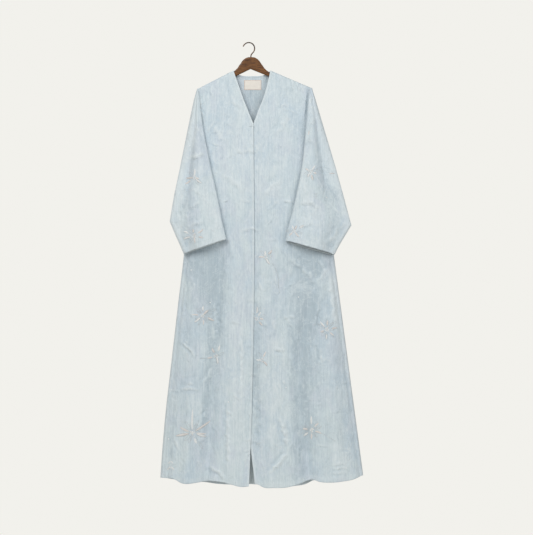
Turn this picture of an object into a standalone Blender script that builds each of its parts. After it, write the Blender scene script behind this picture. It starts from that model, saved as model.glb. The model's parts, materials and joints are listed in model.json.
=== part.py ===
"""A long pale blue abaya hanging from a wooden coat hanger, at its real size.

The frame: metres, +Z up, X to the viewer's right when facing the front, the front towards -Y.
The origin is the underside of the hook's crown, where a rail carries the whole thing.
Left and right in the names are the wearer's, so right is at -X.

The body is two front panels and a back, each a wall of cloth through columns that run from the
shoulder or the neckline down to the hem. The wide sleeves fall from the shoulder tips and lie in
front of the body, so each is a stack of sections that run from the front armhole, round the inner
fold, across the front, round the outer fold and back to the rear armhole.
"""

import math
from functools import partial

import bmesh
import bpy
import numpy as np

# Cloth
WALL = 0.0015
PANEL_ROWS = 20
SEAM_GAP = 0.0003
ROLL = 0.0095  # radius of the cloth's bend over the hanger's arm
BEND_DEG = (0, 25, 50, 72, 90)  # where the rows lie round that bend
BEND_DROP = 1.1  # height of the bend's rows in radii

# Columns of the panels as shares: from the side seam to the neck point, and from there inward
SIDE_COLUMNS = (0.0, 0.008, 0.028, 0.06)
EDGE_COLUMNS = (0.03, 0.12, 0.26, 0.42, 0.58, 0.74, 0.88, 1.0)
SCOOP_COLUMNS = (0.03, 0.12, 0.28, 0.42, 0.58, 0.72, 0.88, 0.97, 1.0)
BACK_SIDE_COLUMNS = (0.0, 0.005, 0.02, 0.045)
SHOULDER_COLUMNS = {"front": 10, "back": 8}

# Outline of the body, each point (x, z)
SHOULDER_TIP = {"right": (-0.1782, -0.1592), "left": (0.2194, -0.1566)}
NECK_POINT = {"right": (-0.0536, -0.0954), "left": (0.0755, -0.0952)}
HEM_CORNER = {"right": (-0.3083, -1.5160), "left": (0.3994, -1.5080)}
SIDE_BOW = {  # how far each side line strays from straight towards +X, (z, x)
    "right": (
        (-0.450, 0.0), (-0.740, 0.0075), (-0.900, 0.0040), (-1.100, 0.0), (-1.300, -0.0036),
        (-1.420, -0.0026), (-1.516, 0.0),
    ),
    "left": ((-0.450, 0.0), (-1.508, 0.0)),
}
OUTWARD = {"right": -1.0, "left": 1.0}

# The neckline: its drop at the back, and each front edge from the neck point down, (x, z)
BACK_NECK_DROP = 0.0190
NECK_EDGE = {
    "right": (
        (-0.0536, -0.0954), (-0.0335, -0.1535), (-0.0174, -0.1985), (-0.0050, -0.2295), (0.0163, -0.2819),
    ),
    "left": (
        (0.0755, -0.0952), (0.0703, -0.1208), (0.0581, -0.1697), (0.0337, -0.2350), (0.0167, -0.2800),
        (-0.0126, -0.3370),
    ),
}

# The front opening: x of each panel's edge at heights z. The right panel laps over the left one.
OPENING_EDGE = {
    "right": ((-0.280, 0.0163), (-0.800, 0.0190), (-1.100, 0.0150), (-1.300, 0.0102), (-1.545, 0.0010)),
    "left": ((-0.337, -0.0126), (-0.900, -0.0100), (-1.200, -0.0055), (-1.380, 0.0040), (-1.535, 0.0215)),
}
LAP_STEP = 0.0024
LAP_START = 0.001  # past the right panel's edge, where the left one begins to come forward
LAP_FADE = 0.030
LAP_PARTS = (-1.40, -1.50)  # between these heights the laps draw apart
LAP_PARTED = 0.3  # share of the step that is left below them

# Height of the hem, (x, z)
FRONT_HEM = (
    (-0.3083, -1.5160), (-0.2600, -1.5195), (-0.2377, -1.5305), (-0.1806, -1.5309), (-0.1556, -1.5274),
    (-0.1009, -1.5284), (-0.0592, -1.5368), (-0.0264, -1.5448), (0.0000, -1.5434), (0.0258, -1.5357),
    (0.0532, -1.5472), (0.0880, -1.5483), (0.1326, -1.5472), (0.1625, -1.5406), (0.1949, -1.5291),
    (0.2245, -1.5222), (0.2520, -1.5291), (0.2920, -1.5295), (0.3268, -1.5262), (0.3616, -1.5215),
    (0.3994, -1.5080),
)
BACK_HEM = (
    (-0.3083, -1.5160), (-0.2400, -1.5290), (-0.1430, -1.5355), (-0.0592, -1.5440), (0.0104, -1.5430),
    (0.1625, -1.5480), (0.1949, -1.5432), (0.2240, -1.5310), (0.3000, -1.5240), (0.3994, -1.5080),
)

# Depth of the front and of the back from the side seams' plane at heights z, and the width of the turn
SECTION = ("z", "front", "back", "turn")
SECTIONS = (
    (-0.090, 0.0095, 0.0095, 0.050),
    (-0.170, 0.0105, 0.0115, 0.050),
    (-0.280, 0.0150, 0.0150, 0.060),
    (-0.450, 0.0210, 0.0180, 0.075),
    (-0.750, 0.0240, 0.0210, 0.090),
    (-1.100, 0.0270, 0.0250, 0.090),
    (-1.550, 0.0310, 0.0290, 0.080),
)
TURN_POWER = 0.7  # lower is a fuller turn at the side seam

# Armholes: their length down the side, and how far each edge stands from the seam plane
ARMHOLE_LENGTH = 0.270
ARMHOLE_SWELL = 0.006
ARMHOLE_END = 0.0025
ARMHOLE_CLOSE = 0.020

# Folds: a soft ridge (depth over 0) or trough along a line from top to bottom
FOLD = ("x_top", "z_top", "x_mid", "z_mid", "x_bottom", "half_width", "depth")
FRONT_FOLDS = (
    (-0.2240, -0.740, -0.2600, -1.200, -0.2860, 0.009, -0.006),
    (-0.1860, -0.700, -0.2000, -1.150, -0.2140, 0.024, 0.011),
    (-0.0900, -0.560, -0.1160, -1.040, -0.1480, 0.022, -0.019),
    (-0.0480, -0.520, -0.0500, -1.040, -0.0460, 0.032, 0.010),
    (0.0620, -0.600, 0.0700, -1.100, 0.0840, 0.036, 0.011),
    (0.2540, -0.720, 0.1750, -1.160, 0.2130, 0.024, -0.019),
    (0.2960, -0.700, 0.2960, -1.150, 0.3050, 0.028, 0.013),
)
BACK_FOLDS = (
    (-0.1500, -0.420, -0.1750, -1.000, -0.2150, 0.032, 0.012),
    (-0.0700, -0.340, -0.0900, -1.000, -0.1150, 0.028, -0.016),
    (0.0120, -0.300, 0.0050, -1.000, -0.0150, 0.036, 0.014),
    (0.0850, -0.340, 0.1000, -1.000, 0.1150, 0.028, -0.016),
    (0.1800, -0.420, 0.2150, -1.000, 0.2450, 0.036, 0.013),
)
HEM_Z = -1.540
FOLD_GROWTH = 0.75  # power by which a fold deepens on its way down
FOLD_NARROW = 0.7  # share of its width where it starts

# Sleeves: sections from the shoulder tip to the cuff. Each has the ends of its line in the plane of
# the front, how far the underarm has left the body's side, and across the inner fold and the belly.
SLEEVE = ("outer_x", "outer_z", "inner_x", "inner_z", "free", "fold", "belly", "steps")
SLEEVES = {
    "right": (
        (-0.1802, -0.1598, -0.1749, -0.1598, 0.00, 0.0046, 0.0000, 0),
        (-0.1840, -0.1710, -0.1738, -0.1710, 0.00, 0.0065, 0.0000, 3),
        (-0.1919, -0.2000, -0.1710, -0.2000, 0.00, 0.0080, 0.0020, 1),
        (-0.2113, -0.2930, -0.1588, -0.2930, 0.00, 0.0125, 0.0050, 2),
        (-0.2381, -0.4266, -0.1330, -0.4266, 0.00, 0.0165, 0.0080, 3),
        (-0.2596, -0.5300, -0.1130, -0.5150, 0.75, 0.0180, 0.0100, 2),
        (-0.2749, -0.6229, -0.0960, -0.6000, 1.00, 0.0190, 0.0110, 2),
        (-0.2531, -0.6740, -0.0870, -0.6410, 1.00, 0.0200, 0.0120, 1),
        (-0.2255, -0.7340, -0.0776, -0.6840, 1.00, 0.0205, 0.0120, 1),
    ),
    "left": (
        (0.2213, -0.1572, 0.2159, -0.1572, 0.00, 0.0046, 0.0000, 0),
        (0.2240, -0.1680, 0.2115, -0.1680, 0.00, 0.0065, 0.0000, 3),
        (0.2338, -0.2000, 0.2082, -0.2000, 0.00, 0.0080, 0.0020, 1),
        (0.2590, -0.2864, 0.2005, -0.2864, 0.00, 0.0125, 0.0050, 2),
        (0.2998, -0.4224, 0.1863, -0.4224, 0.00, 0.0165, 0.0080, 3),
        (0.3293, -0.5300, 0.1668, -0.5250, 0.75, 0.0180, 0.0100, 2),
        (0.3574, -0.6361, 0.1476, -0.6060, 1.00, 0.0190, 0.0110, 2),
        (0.3302, -0.6810, 0.1358, -0.6465, 1.00, 0.0200, 0.0120, 1),
        (0.2969, -0.7360, 0.1286, -0.6885, 1.00, 0.0205, 0.0120, 1),
    ),
}
UNDERARM = 4  # the section at the lower end of the armhole
SLEEVE_POINTS = {"rear": 9, "fold": 5, "front": 9, "outer": 7}
SLEEVE_SEAM = 0.0005  # gap to the body's side
SLEEVE_LIFT = 0.014  # the sleeve lifts from its seam gap to its clearance over this width
OUTER_ROUND = 0.016  # of the free sleeve's outer fold
UNDERARM_STEP = 0.004
SLEEVE_CLEAR = 0.0030  # from the body's front, away from the seam
SLEEVE_HANG = 0.0080  # forward of the seam plane, at the outer edge
SLEEVE_REST = 0.045  # how far inside the body's side the free sleeve starts to lie on the front
REAR_CUFF_DROP = {"right": 0.0030, "left": 0.0070}
REAR_CUFF_FROM = 0.9  # share of the sleeve where the rear layer starts to drop
TOP_SHARES = (0.14, 0.39, 1.0)  # places of the sections over the shoulder's bend

# Label and neck facing, on the inside of the back
LABEL_SIZE = (0.0615, 0.0345)
LABEL_CENTRE = (0.0125, -0.1440)
LABEL_THICK = 0.0008
FACING_WIDTH = 0.0110
FACING_INSET = (0.0120, 0.0004)  # from the neck points, and below the edge of the back
FACING_THICK = 0.0008

# Hanger: half of the board's top about its middle, (out from the middle, z), and its underside's peak
HANGER_X = 0.0073
HUMP = (
    (0.0000, -0.0487), (0.0100, -0.0492), (0.0174, -0.0515), (0.0232, -0.0556), (0.0296, -0.0612),
    (0.0348, -0.0696), (0.0400, -0.0766), (0.0470, -0.0870), (0.0550, -0.0950), (0.0644, -0.1012),
)
ARCH_TOP = (0.0062, -0.0905)
ARM_END = {"right": -0.1722, "left": 0.1890}
ARM_TIP = (  # the rounded end, (down, out) square to and along the arm from the top of its end
    (0.0, -0.008), (0.001, -0.0045), (0.004, -0.001), (0.0085, 0.0), (0.0135, -0.001), (0.0165, -0.0045),
    (0.0175, -0.009),
)
ARM_COVER = 0.0022  # from the shoulder line down to the wood
BOARD_THICK = 0.0120
EDGE_ROUND = 0.0045
WIRE = 0.0021
HOOK_BEND = 0.0205
HOOK_TIP_DEG = 161.0
HOOK_LEAVES_DEG = -48.0
HOOK_NECK = ((0.0111, -0.0368), (0.0087, -0.0402), (0.0076, -0.0440))
SHANK_DEPTH = 0.0150
BORE_CLEAR = 0.0003
SHARP = math.radians(50)  # edges sharper than this stay crisp


def spline(x, table):
    """Smooth curve through the rows (x, y) of a table, by cubic pieces with averaged slopes."""
    rows = np.array(sorted(table))
    xs, ys = rows[:, 0], rows[:, 1]
    slope = np.gradient(ys, xs)
    x = np.clip(np.asarray(x, float), xs[0], xs[-1])
    i = np.clip(np.searchsorted(xs, x) - 1, 0, len(xs) - 2)
    step = xs[i + 1] - xs[i]
    t = (x - xs[i]) / step
    a, b = 1 + 2 * t, t - 1
    near = a * b * b * ys[i] + t * b * b * step * slope[i]
    far = t * t * (3 - 2 * t) * ys[i + 1] + t * t * b * step * slope[i + 1]
    return near + far


def ease(low, high, x):
    """0 below low and 1 above high, with a smooth step between them."""
    t = np.clip((np.asarray(x, float) - low) / (high - low), 0.0, 1.0)
    return t * t * (3 - 2 * t)


def column(table, names, name, key="z"):
    """The rows (key, name) of a table with named columns."""
    k, n = names.index(key), names.index(name)
    return tuple((row[k], row[n]) for row in table)


def side_x(side, z):
    """x of the body's side line: straight from the shoulder tip to the corner of the hem, and bowed."""
    (x0, z0), (x1, z1) = SHOULDER_TIP[side], HEM_CORNER[side]
    return x0 + (x1 - x0) * (z0 - z) / (z0 - z1) + spline(z, SIDE_BOW[side])


def shoulder_z(side, x):
    """z of the shoulder's line, carried on past the neck."""
    (x0, z0), (x1, z1) = SHOULDER_TIP[side], NECK_POINT[side]
    return z0 + (z1 - z0) * (x - x0) / (x1 - x0)


def below_shoulder(x, z):
    """Distance square to the nearer shoulder line, downwards."""
    found = []
    for side in ("right", "left"):
        (x0, z0), (x1, z1) = SHOULDER_TIP[side], NECK_POINT[side]
        level = math.cos(math.atan2(abs(z1 - z0), abs(x1 - x0)))
        found.append((shoulder_z(side, x) - z) * level)
    return np.minimum(*found)


def armhole(side, z):
    """How far each armhole edge stands in front of or behind the seam plane."""
    top = SHOULDER_TIP[side][1]
    share = np.clip((top - z) / ARMHOLE_LENGTH, 0.0, 1.0)
    stand = ROLL + (ARMHOLE_END - ROLL) * share + ARMHOLE_SWELL * np.sin(math.pi * share)
    bottom = top - ARMHOLE_LENGTH
    return stand * (1 - ease(0.0, ARMHOLE_CLOSE, bottom - z))


def folds(table, x, z):
    """Sum of the table's folds at (x, z)."""
    total = np.zeros(np.broadcast(x, z).shape)
    for row in table:
        f = dict(zip(FOLD, row))
        z_top, z_mid = f["z_top"], f["z_mid"]
        line = spline(z, ((z_top, f["x_top"]), (z_mid, f["x_mid"]), (HEM_Z, f["x_bottom"])))
        grown = np.clip((z_top - z) / (z_top - HEM_Z), 0.0, 1.0) ** FOLD_GROWTH
        width = f["half_width"] * (FOLD_NARROW + (1 - FOLD_NARROW) * grown)
        total = total + f["depth"] * grown * np.exp(-(((x - line) / width) ** 2))
    return total


def layer_y(face, x, z):
    """y of the front or back layer's outer surface at (x, z): flat in the middle, turned in to the
    side seams and to the shoulder line, and open at the armholes."""
    x, z = np.broadcast_arrays(np.asarray(x, float), np.asarray(z, float))
    depth = spline(z, column(SECTIONS, SECTION, face))
    depth = depth + folds(FRONT_FOLDS if face == "front" else BACK_FOLDS, x, z)
    turn = spline(z, column(SECTIONS, SECTION, "turn"))
    edge, opened = 1.0, 0.0
    for side in ("right", "left"):
        inward = np.clip((side_x(side, z) - x) * OUTWARD[side] / turn, 0.0, 1.0)
        share = (1 - (1 - inward) ** 2) ** TURN_POWER
        edge = edge * share
        opened = opened + armhole(side, z) * (1 - share)
    over = np.clip(below_shoulder(x, z) / ROLL, 0.0, 1.0)
    roll = np.sqrt(1 - (1 - over) ** 2)
    y = (depth * edge + opened) * roll + SEAM_GAP / 2
    return -y if face == "front" else y


def lapped_y(x, z):
    """The left front panel's outer surface, stepped back where the right one lies over it."""
    lap = spline(z, OPENING_EDGE["right"])
    behind = 1 - ease(0.0, LAP_FADE, x - lap - LAP_START)
    together = 1 - ease(-LAP_PARTS[0], -LAP_PARTS[1], -z)
    return layer_y("front", x, z) + LAP_STEP * behind * np.maximum(together, LAP_PARTED)


def opening_x(side, z):
    return spline(z, OPENING_EDGE[side])


def front_top(side, x):
    """z of a front panel's upper edge: the shoulder line, then the neckline."""
    past_neck = (x - NECK_POINT[side][0]) * OUTWARD[side] < 0
    return np.where(past_neck, spline(x, NECK_EDGE[side]), shoulder_z(side, x))


def back_top(x):
    """z of the back's upper edge: both shoulder lines and the scooped neckline between them."""
    (x0, z0), (x1, z1) = NECK_POINT["right"], NECK_POINT["left"]
    across = np.clip((x - x0) / (x1 - x0), 0.0, 1.0)
    scoop = z0 + (z1 - z0) * across - BACK_NECK_DROP * (1 - (2 * across - 1) ** 4)
    shoulders = np.where(x < x0, shoulder_z("right", x), shoulder_z("left", x))
    return np.where((x > x0) & (x < x1), scoop, shoulders)


def row_heights(top, bottom, count):
    """Heights down each column: small steps over the shoulder's bend, then even ones to the hem."""
    bend = ROLL * BEND_DROP * (1 - np.cos(np.radians(BEND_DEG)))
    start = top - bend[-1]
    shares = np.linspace(0, 1, count - len(bend) + 1)[1:, None]
    return np.vstack([top - bend[:, None], start + (bottom - start) * shares])


def unit(v):
    return v / np.maximum(np.linalg.norm(v, axis=-1, keepdims=True), 1e-12)


def outward_normals(grid, facing):
    """Normals of a grid of points, turned to the side that facing (x, y, z) points to at its middle."""
    normal = unit(np.cross(np.gradient(grid, axis=0), np.gradient(grid, axis=1)))
    middle = normal[normal.shape[0] // 2, normal.shape[1] // 2]
    return normal if middle @ np.array(facing) > 0 else -normal


def collection(name):
    made = bpy.data.collections.new(name)
    bpy.context.scene.collection.children.link(made)
    return made


def material(name, colour, roughness, metallic=0.0):
    made = bpy.data.materials.new(name)
    made.use_nodes = True
    shader = made.node_tree.nodes["Principled BSDF"]
    shader.inputs["Base Color"].default_value = (*colour, 1.0)
    shader.inputs["Roughness"].default_value = roughness
    shader.inputs["Metallic"].default_value = metallic
    return made


def wall(name, outer, inner, home, finish, closed_from=None):
    """A closed wall between two grids of points with the same rows and columns. Rows from closed_from
    on also join their last column to the first, as in a tube below a slit."""
    rows, columns, _ = outer.shape
    count = rows * columns
    points = np.concatenate([outer.reshape(-1, 3), inner.reshape(-1, 3)])
    ring_from = rows if closed_from is None else closed_from

    def at(i, j, inside):
        return i * columns + j % columns + (count if inside else 0)

    faces = []
    for i in range(rows - 1):
        for j in range(columns if i >= ring_from else columns - 1):
            quad = ((i, j), (i + 1, j), (i + 1, j + 1), (i, j + 1))
            faces.append([at(a, b, False) for a, b in quad])
            faces.append([at(a, b, True) for a, b in reversed(quad)])
    rim = [((i, 0), (i + 1, 0)) for i in range(min(ring_from, rows - 1))]
    rim += [((i + 1, columns - 1), (i, columns - 1)) for i in range(min(ring_from, rows - 1))]
    rim += [((0, j + 1), (0, j)) for j in range(columns - 1)]
    rim += [((rows - 1, j), (rows - 1, j + 1)) for j in range(columns if ring_from < rows else columns - 1)]
    if 0 < ring_from < rows:
        rim.append(((ring_from, columns), (ring_from, columns - 1)))
    for a, b in rim:
        faces.append([at(*b, False), at(*a, False), at(*a, True), at(*b, True)])
    mesh = bpy.data.meshes.new(name)
    mesh.from_pydata(points.tolist(), [], faces)
    tidy = bmesh.new()
    tidy.from_mesh(mesh)
    bmesh.ops.triangulate(tidy, faces=tidy.faces[:])
    bmesh.ops.recalc_face_normals(tidy, faces=tidy.faces[:])
    tidy.to_mesh(mesh)
    tidy.free()
    mesh.shade_smooth()
    mesh.set_sharp_from_angle(angle=SHARP)
    mesh.materials.append(finish)
    made = bpy.data.objects.new(name, mesh)
    home.objects.link(made)
    return made


def panel(name, shares, left_line, right_line, top, bottom, depth, facing, home, finish):
    """A body panel. Column f runs where x is a share f of the way between two lines, from top(x)
    down to the hem, and depth(x, z) is its outer surface."""
    f = np.array(shares)
    x_top = left_line(-0.2) + (right_line(-0.2) - left_line(-0.2)) * f
    z_top = top(x_top)
    for _ in range(12):
        z_top = 0.5 * (z_top + top(left_line(z_top) + (right_line(z_top) - left_line(z_top)) * f))
    x_hem = left_line(HEM_Z) + (right_line(HEM_Z) - left_line(HEM_Z)) * f
    z = row_heights(z_top, bottom(x_hem), PANEL_ROWS)
    x = left_line(z) + (right_line(z) - left_line(z)) * f
    outer = np.stack([x, depth(x, z), z], axis=-1)
    normal = outward_normals(outer, facing)
    seam = np.zeros(x.shape, bool)
    seam[0] = below_shoulder(x[0], z[0]) < 1e-4
    for side in ("right", "left"):
        seam |= np.abs(side_x(side, z) - x) < 1e-6
    normal[seam, 1] = 0.0
    inner = outer - WALL * unit(normal)
    return wall(name, outer, inner, home, finish)


def front_shares(side):
    """Column places of a front panel: close together at the side seam, the neck point and its edge."""
    width = abs(OPENING_EDGE[side][0][1] - SHOULDER_TIP[side][0])
    neck = abs(NECK_POINT[side][0] - SHOULDER_TIP[side][0]) / width
    shoulder = np.linspace(SIDE_COLUMNS[-1], neck, SHOULDER_COLUMNS["front"])
    return (*SIDE_COLUMNS[:-1], *shoulder, *(neck + (1 - neck) * np.array(EDGE_COLUMNS)))


def make_fronts(home, cloth):
    for side, surface in (("right", partial(layer_y, "front")), ("left", lapped_y)):
        panel(
            f"front_{side}", front_shares(side), partial(side_x, side), partial(opening_x, side),
            partial(front_top, side), partial(spline, table=FRONT_HEM), surface, (0, -1, 0), home, cloth,
        )


def make_back(home, cloth):
    (tip_x, _), (far_x, _) = SHOULDER_TIP["right"], SHOULDER_TIP["left"]
    neck = [(NECK_POINT[side][0] - tip_x) / (far_x - tip_x) for side in ("right", "left")]
    across = neck[0] + (neck[1] - neck[0]) * np.array(SCOOP_COLUMNS)
    close, count = BACK_SIDE_COLUMNS, SHOULDER_COLUMNS["back"]
    first = (*close[:-1], *np.linspace(close[-1], neck[0], count))
    last = (*np.linspace(neck[1], 1 - close[-1], count + 1)[1:], *(1 - np.array(close[-2::-1])))
    panel(
        "back", (*first, *across, *last), partial(side_x, "right"), partial(side_x, "left"),
        back_top, partial(spline, table=BACK_HEM), partial(layer_y, "back"), (0, 1, 0), home, cloth,
    )


def sleeve_rows(side):
    """The sleeve's sections, filled in between those of the table. Straight along the outer edge and
    curved along the inner one."""
    table = np.array(SLEEVES[side])
    places = [0.0]
    for k, steps in enumerate(table[1:, -1].astype(int)):
        shares = TOP_SHARES if k == 0 else np.arange(1, steps + 1) / steps
        places.extend(k + np.array(shares))
    places = np.array(places)
    keys = np.arange(len(table))
    rows = {}
    for i, name in enumerate(SLEEVE[:-1]):
        if name.startswith("inner"):
            rows[name] = spline(places, tuple(zip(keys, table[:, i])))
        else:
            rows[name] = np.interp(places, keys, table[:, i])
    return rows, int(np.argmin(np.abs(places - UNDERARM)))


def sleeve_section(side, row, inset, drop, cuff_drop):
    """One section as points (x, y, z): in front of the body from the armhole to the inner fold, back
    across the front, and round the outer edge to the rear of the armhole. inset moves it inside."""
    count = SLEEVE_POINTS
    o = OUTWARD[side]
    length = abs(row["outer_x"] - row["inner_x"])
    side_e = (row["outer_x"] - side_x(side, row["outer_z"])) * o
    slant = (row["inner_z"] - row["outer_z"]) / length
    free = row["free"]
    turn_e = (1 - free) * side_e + free * OUTER_ROUND
    start_e = (1 - free) * (side_e - SLEEVE_SEAM) + free * (turn_e + UNDERARM_STEP)

    def place(e):
        return row["outer_x"] - o * e, row["outer_z"] + slant * e

    def rear_depth(e):
        x, z = place(e)
        inward = (side_x(side, z) - x) * o
        body = -layer_y("front", x, z)
        clear = SLEEVE_SEAM + (SLEEVE_CLEAR - SLEEVE_SEAM) * ease(0.0, SLEEVE_LIFT, inward)
        flat = spline(z, column(SECTIONS, SECTION, "front")) + SLEEVE_CLEAR
        hung = SLEEVE_HANG + (flat - SLEEVE_HANG) * np.clip(e / (side_e + SLEEVE_REST), 0.0, 1.0)
        return np.maximum(body + clear, (1 - free) * (body + clear) + free * hung)

    radius = row["fold"] / 2
    fold_e = length - radius
    rear_e = start_e + (fold_e - start_e) * np.linspace(0, 1, count["rear"])
    rear_f = rear_depth(rear_e)
    angle = np.linspace(-math.pi / 2, math.pi / 2, count["fold"] + 2)[1:-1]
    round_e = fold_e + (radius - inset) * np.cos(angle)
    round_f = rear_f[-1] + radius + (radius - inset) * np.sin(angle)
    across = np.linspace(0, 1, count["front"])
    front_e = fold_e + (turn_e - fold_e) * across
    front_f = rear_depth(front_e) + 2 * radius + row["belly"] * np.sin(math.pi * across)
    front_f[0] = rear_f[-1] + 2 * radius
    armhole_f = layer_y("front", side_x(side, row["outer_z"]), row["outer_z"])
    end_f = (1 - free) * armhole_f + free * rear_depth(np.array([turn_e]))[0]
    angle = np.linspace(0, math.pi, count["outer"] + 1)[1:]
    middle_f = (front_f[-1] + end_f) / 2
    outer_e = turn_e - (turn_e - inset) * np.sin(angle)
    outer_f = middle_f + ((front_f[-1] - end_f) / 2 - inset) * np.cos(angle)
    outer_e[-1] = turn_e - (1 - free) * SLEEVE_SEAM
    e = np.concatenate([rear_e, round_e, front_e, outer_e])
    f = np.concatenate([rear_f + inset, round_f, front_f - inset, outer_f])
    rearward = np.concatenate([
        np.ones(count["rear"]), np.linspace(0.8, 0.2, count["fold"]),
        np.zeros(count["front"]), np.linspace(0.1, 1.0, count["outer"]),
    ])
    x, z = place(e)
    return np.stack([x, -f, z - drop - cuff_drop * rearward], axis=-1)


def make_sleeve(side, home, cloth):
    rows, closed_from = sleeve_rows(side)
    tip_z = SHOULDER_TIP[side][1]
    outer, inner = [], []
    for k in range(len(rows["fold"])):
        row = {name: values[k] for name, values in rows.items()}
        over = min((tip_z - row["outer_z"]) / ROLL, 1.0)
        upright = math.sqrt(1 - (1 - over) ** 2)
        near_cuff = float(ease(REAR_CUFF_FROM, 1.0, k / (len(rows["fold"]) - 1)))
        cuff_drop = REAR_CUFF_DROP[side] * near_cuff
        outer.append(sleeve_section(side, row, 0.0, 0.0, cuff_drop))
        inner.append(sleeve_section(side, row, WALL * upright, WALL * (1 - over), cuff_drop))
    return wall(f"sleeve_{side}", np.array(outer), np.array(inner), home, cloth, closed_from)


def make_on_back(name, x, z, gap, thick, home, finish):
    """A piece lying on the inside of the back, over the grid (x, z)."""
    y = layer_y("back", x, z) - WALL - gap
    near = np.stack([x, y, z], axis=-1)
    far = np.stack([x, y - thick, z], axis=-1)
    return wall(name, near, far, home, finish)


def make_label_and_facing(home, cloth, cream):
    (cx, cz), (w, h) = LABEL_CENTRE, LABEL_SIZE
    x, z = np.meshgrid(np.linspace(cx - w / 2, cx + w / 2, 6), np.linspace(cz + h / 2, cz - h / 2, 4))
    make_on_back("neck_label", x, z, SEAM_GAP, LABEL_THICK, home, cream)
    inset, top = FACING_INSET
    x0, x1 = NECK_POINT["right"][0] + inset, NECK_POINT["left"][0] - inset
    x, down = np.meshgrid(np.linspace(x0, x1, 15), (top, FACING_WIDTH / 2, FACING_WIDTH))
    make_on_back("neck_facing", x, back_top(x) - down, SEAM_GAP, FACING_THICK, home, cloth)


def board_outline():
    """Points (x, z) round the wooden board: over the top, out along each arm and back beneath."""
    top, under = {}, {}
    for side, o in OUTWARD.items():
        (x0, z0), (x1, z1) = SHOULDER_TIP[side], NECK_POINT[side]
        slope = math.atan2(z1 - z0, (x1 - x0) * -o)
        end = ARM_END[side]
        z_end = float(shoulder_z(side, end)) - ARM_COVER / math.cos(slope)
        along = (o * math.cos(slope), -math.sin(slope))
        down = (-o * math.sin(slope), -math.cos(slope))
        round_tip = [
            (end + down[0] * d + along[0] * a, z_end + down[1] * d + along[1] * a)
            for d, a in ARM_TIP
        ]
        top[side] = [(HANGER_X + o * a, z) for a, z in HUMP] + round_tip[:3]
        under[side] = round_tip[3:]
    return top["left"] + under["left"] + [ARCH_TOP] + under["right"][::-1] + top["right"][:0:-1]


def flat_curve(name, points):
    curve = bpy.data.curves.new(name, "CURVE")
    curve.dimensions = "2D"
    curve.fill_mode = "BOTH"
    line = curve.splines.new("POLY")
    line.points.add(len(points) - 1)
    for point, (x, z) in zip(line.points, points):
        point.co = (x, z, 0.0, 1.0)
    line.use_cyclic_u = True
    curve.extrude = BOARD_THICK / 2 - EDGE_ROUND
    curve.bevel_depth = EDGE_ROUND
    curve.bevel_resolution = 2
    curve.offset = -EDGE_ROUND
    return curve


def make_hanger(home, tools, wood, steel):
    shaper = bpy.data.objects.new("board_shape", flat_curve("board_shape", board_outline()))
    shaper.rotation_euler[0] = math.radians(90)
    tools.objects.link(shaper)
    bpy.context.view_layer.update()
    graph = bpy.context.evaluated_depsgraph_get()
    mesh = bpy.data.meshes.new_from_object(shaper.evaluated_get(graph))
    mesh.transform(shaper.matrix_world)
    mesh.materials.clear()
    mesh.materials.append(wood)
    mesh.shade_smooth()
    mesh.set_sharp_from_angle(angle=SHARP)
    board = bpy.data.objects.new("hanger_wood", mesh)
    home.objects.link(board)
    bpy.data.objects.remove(shaper)

    wood_top = HUMP[0][1]
    bpy.ops.mesh.primitive_cylinder_add(
        vertices=24, radius=WIRE + BORE_CLEAR, depth=2 * (SHANK_DEPTH + BORE_CLEAR),
        location=(HANGER_X, 0.0, wood_top),
    )
    cutter = bpy.context.object
    cutter.name = "shank_bore"
    for group in list(cutter.users_collection):
        group.objects.unlink(cutter)
    tools.objects.link(cutter)
    cutter.hide_render = True
    cutter.display_type = "WIRE"
    bore = board.modifiers.new("shank_bore", "BOOLEAN")
    bore.operation = "DIFFERENCE"
    bore.solver = "EXACT"
    bore.object = cutter

    centre_z = -(HOOK_BEND - WIRE)
    bend = np.radians(np.linspace(HOOK_TIP_DEG, HOOK_LEAVES_DEG, 25))
    path = [(HOOK_BEND * math.cos(a), centre_z + HOOK_BEND * math.sin(a)) for a in bend]
    path += [*HOOK_NECK, (HANGER_X, wood_top), (HANGER_X, wood_top - SHANK_DEPTH)]
    curve = bpy.data.curves.new("hanger_hook", "CURVE")
    curve.dimensions = "3D"
    line = curve.splines.new("POLY")
    line.points.add(len(path) - 1)
    for point, (x, z) in zip(line.points, path):
        point.co = (x, 0.0, z, 1.0)
    line.use_smooth = True
    curve.bevel_depth = WIRE
    curve.bevel_resolution = 2
    curve.use_fill_caps = True
    curve.materials.append(steel)
    home.objects.link(bpy.data.objects.new("hanger_hook", curve))


def main():
    for old in list(bpy.data.objects):
        bpy.data.objects.remove(old)
    abaya = collection("abaya_on_hanger")
    tools = collection("cutters")
    cloth = material("pale_blue_cloth", (0.52, 0.61, 0.65), 0.75)
    cream = material("cream_label", (0.80, 0.74, 0.62), 0.8)
    wood = material("dark_wood", (0.10, 0.045, 0.025), 0.45)
    steel = material("dark_steel", (0.12, 0.12, 0.13), 0.35, 1.0)
    make_fronts(abaya, cloth)
    make_back(abaya, cloth)
    for side in ("right", "left"):
        make_sleeve(side, abaya, cloth)
    make_label_and_facing(abaya, cloth, cream)
    make_hanger(abaya, tools, wood, steel)


main()
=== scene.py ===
"""The looks of a pale blue abaya on a wooden hanger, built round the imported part.

Metres, +Z up, the front towards -Y, the origin under the hook's crown. Left and right are the
wearer's, so right is at -X. Each cloth piece is a grid worked out from the same cut as its solid,
with finer folds and creases, and the sewing and embroidery lie on the same surfaces.
"""

import math

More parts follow.
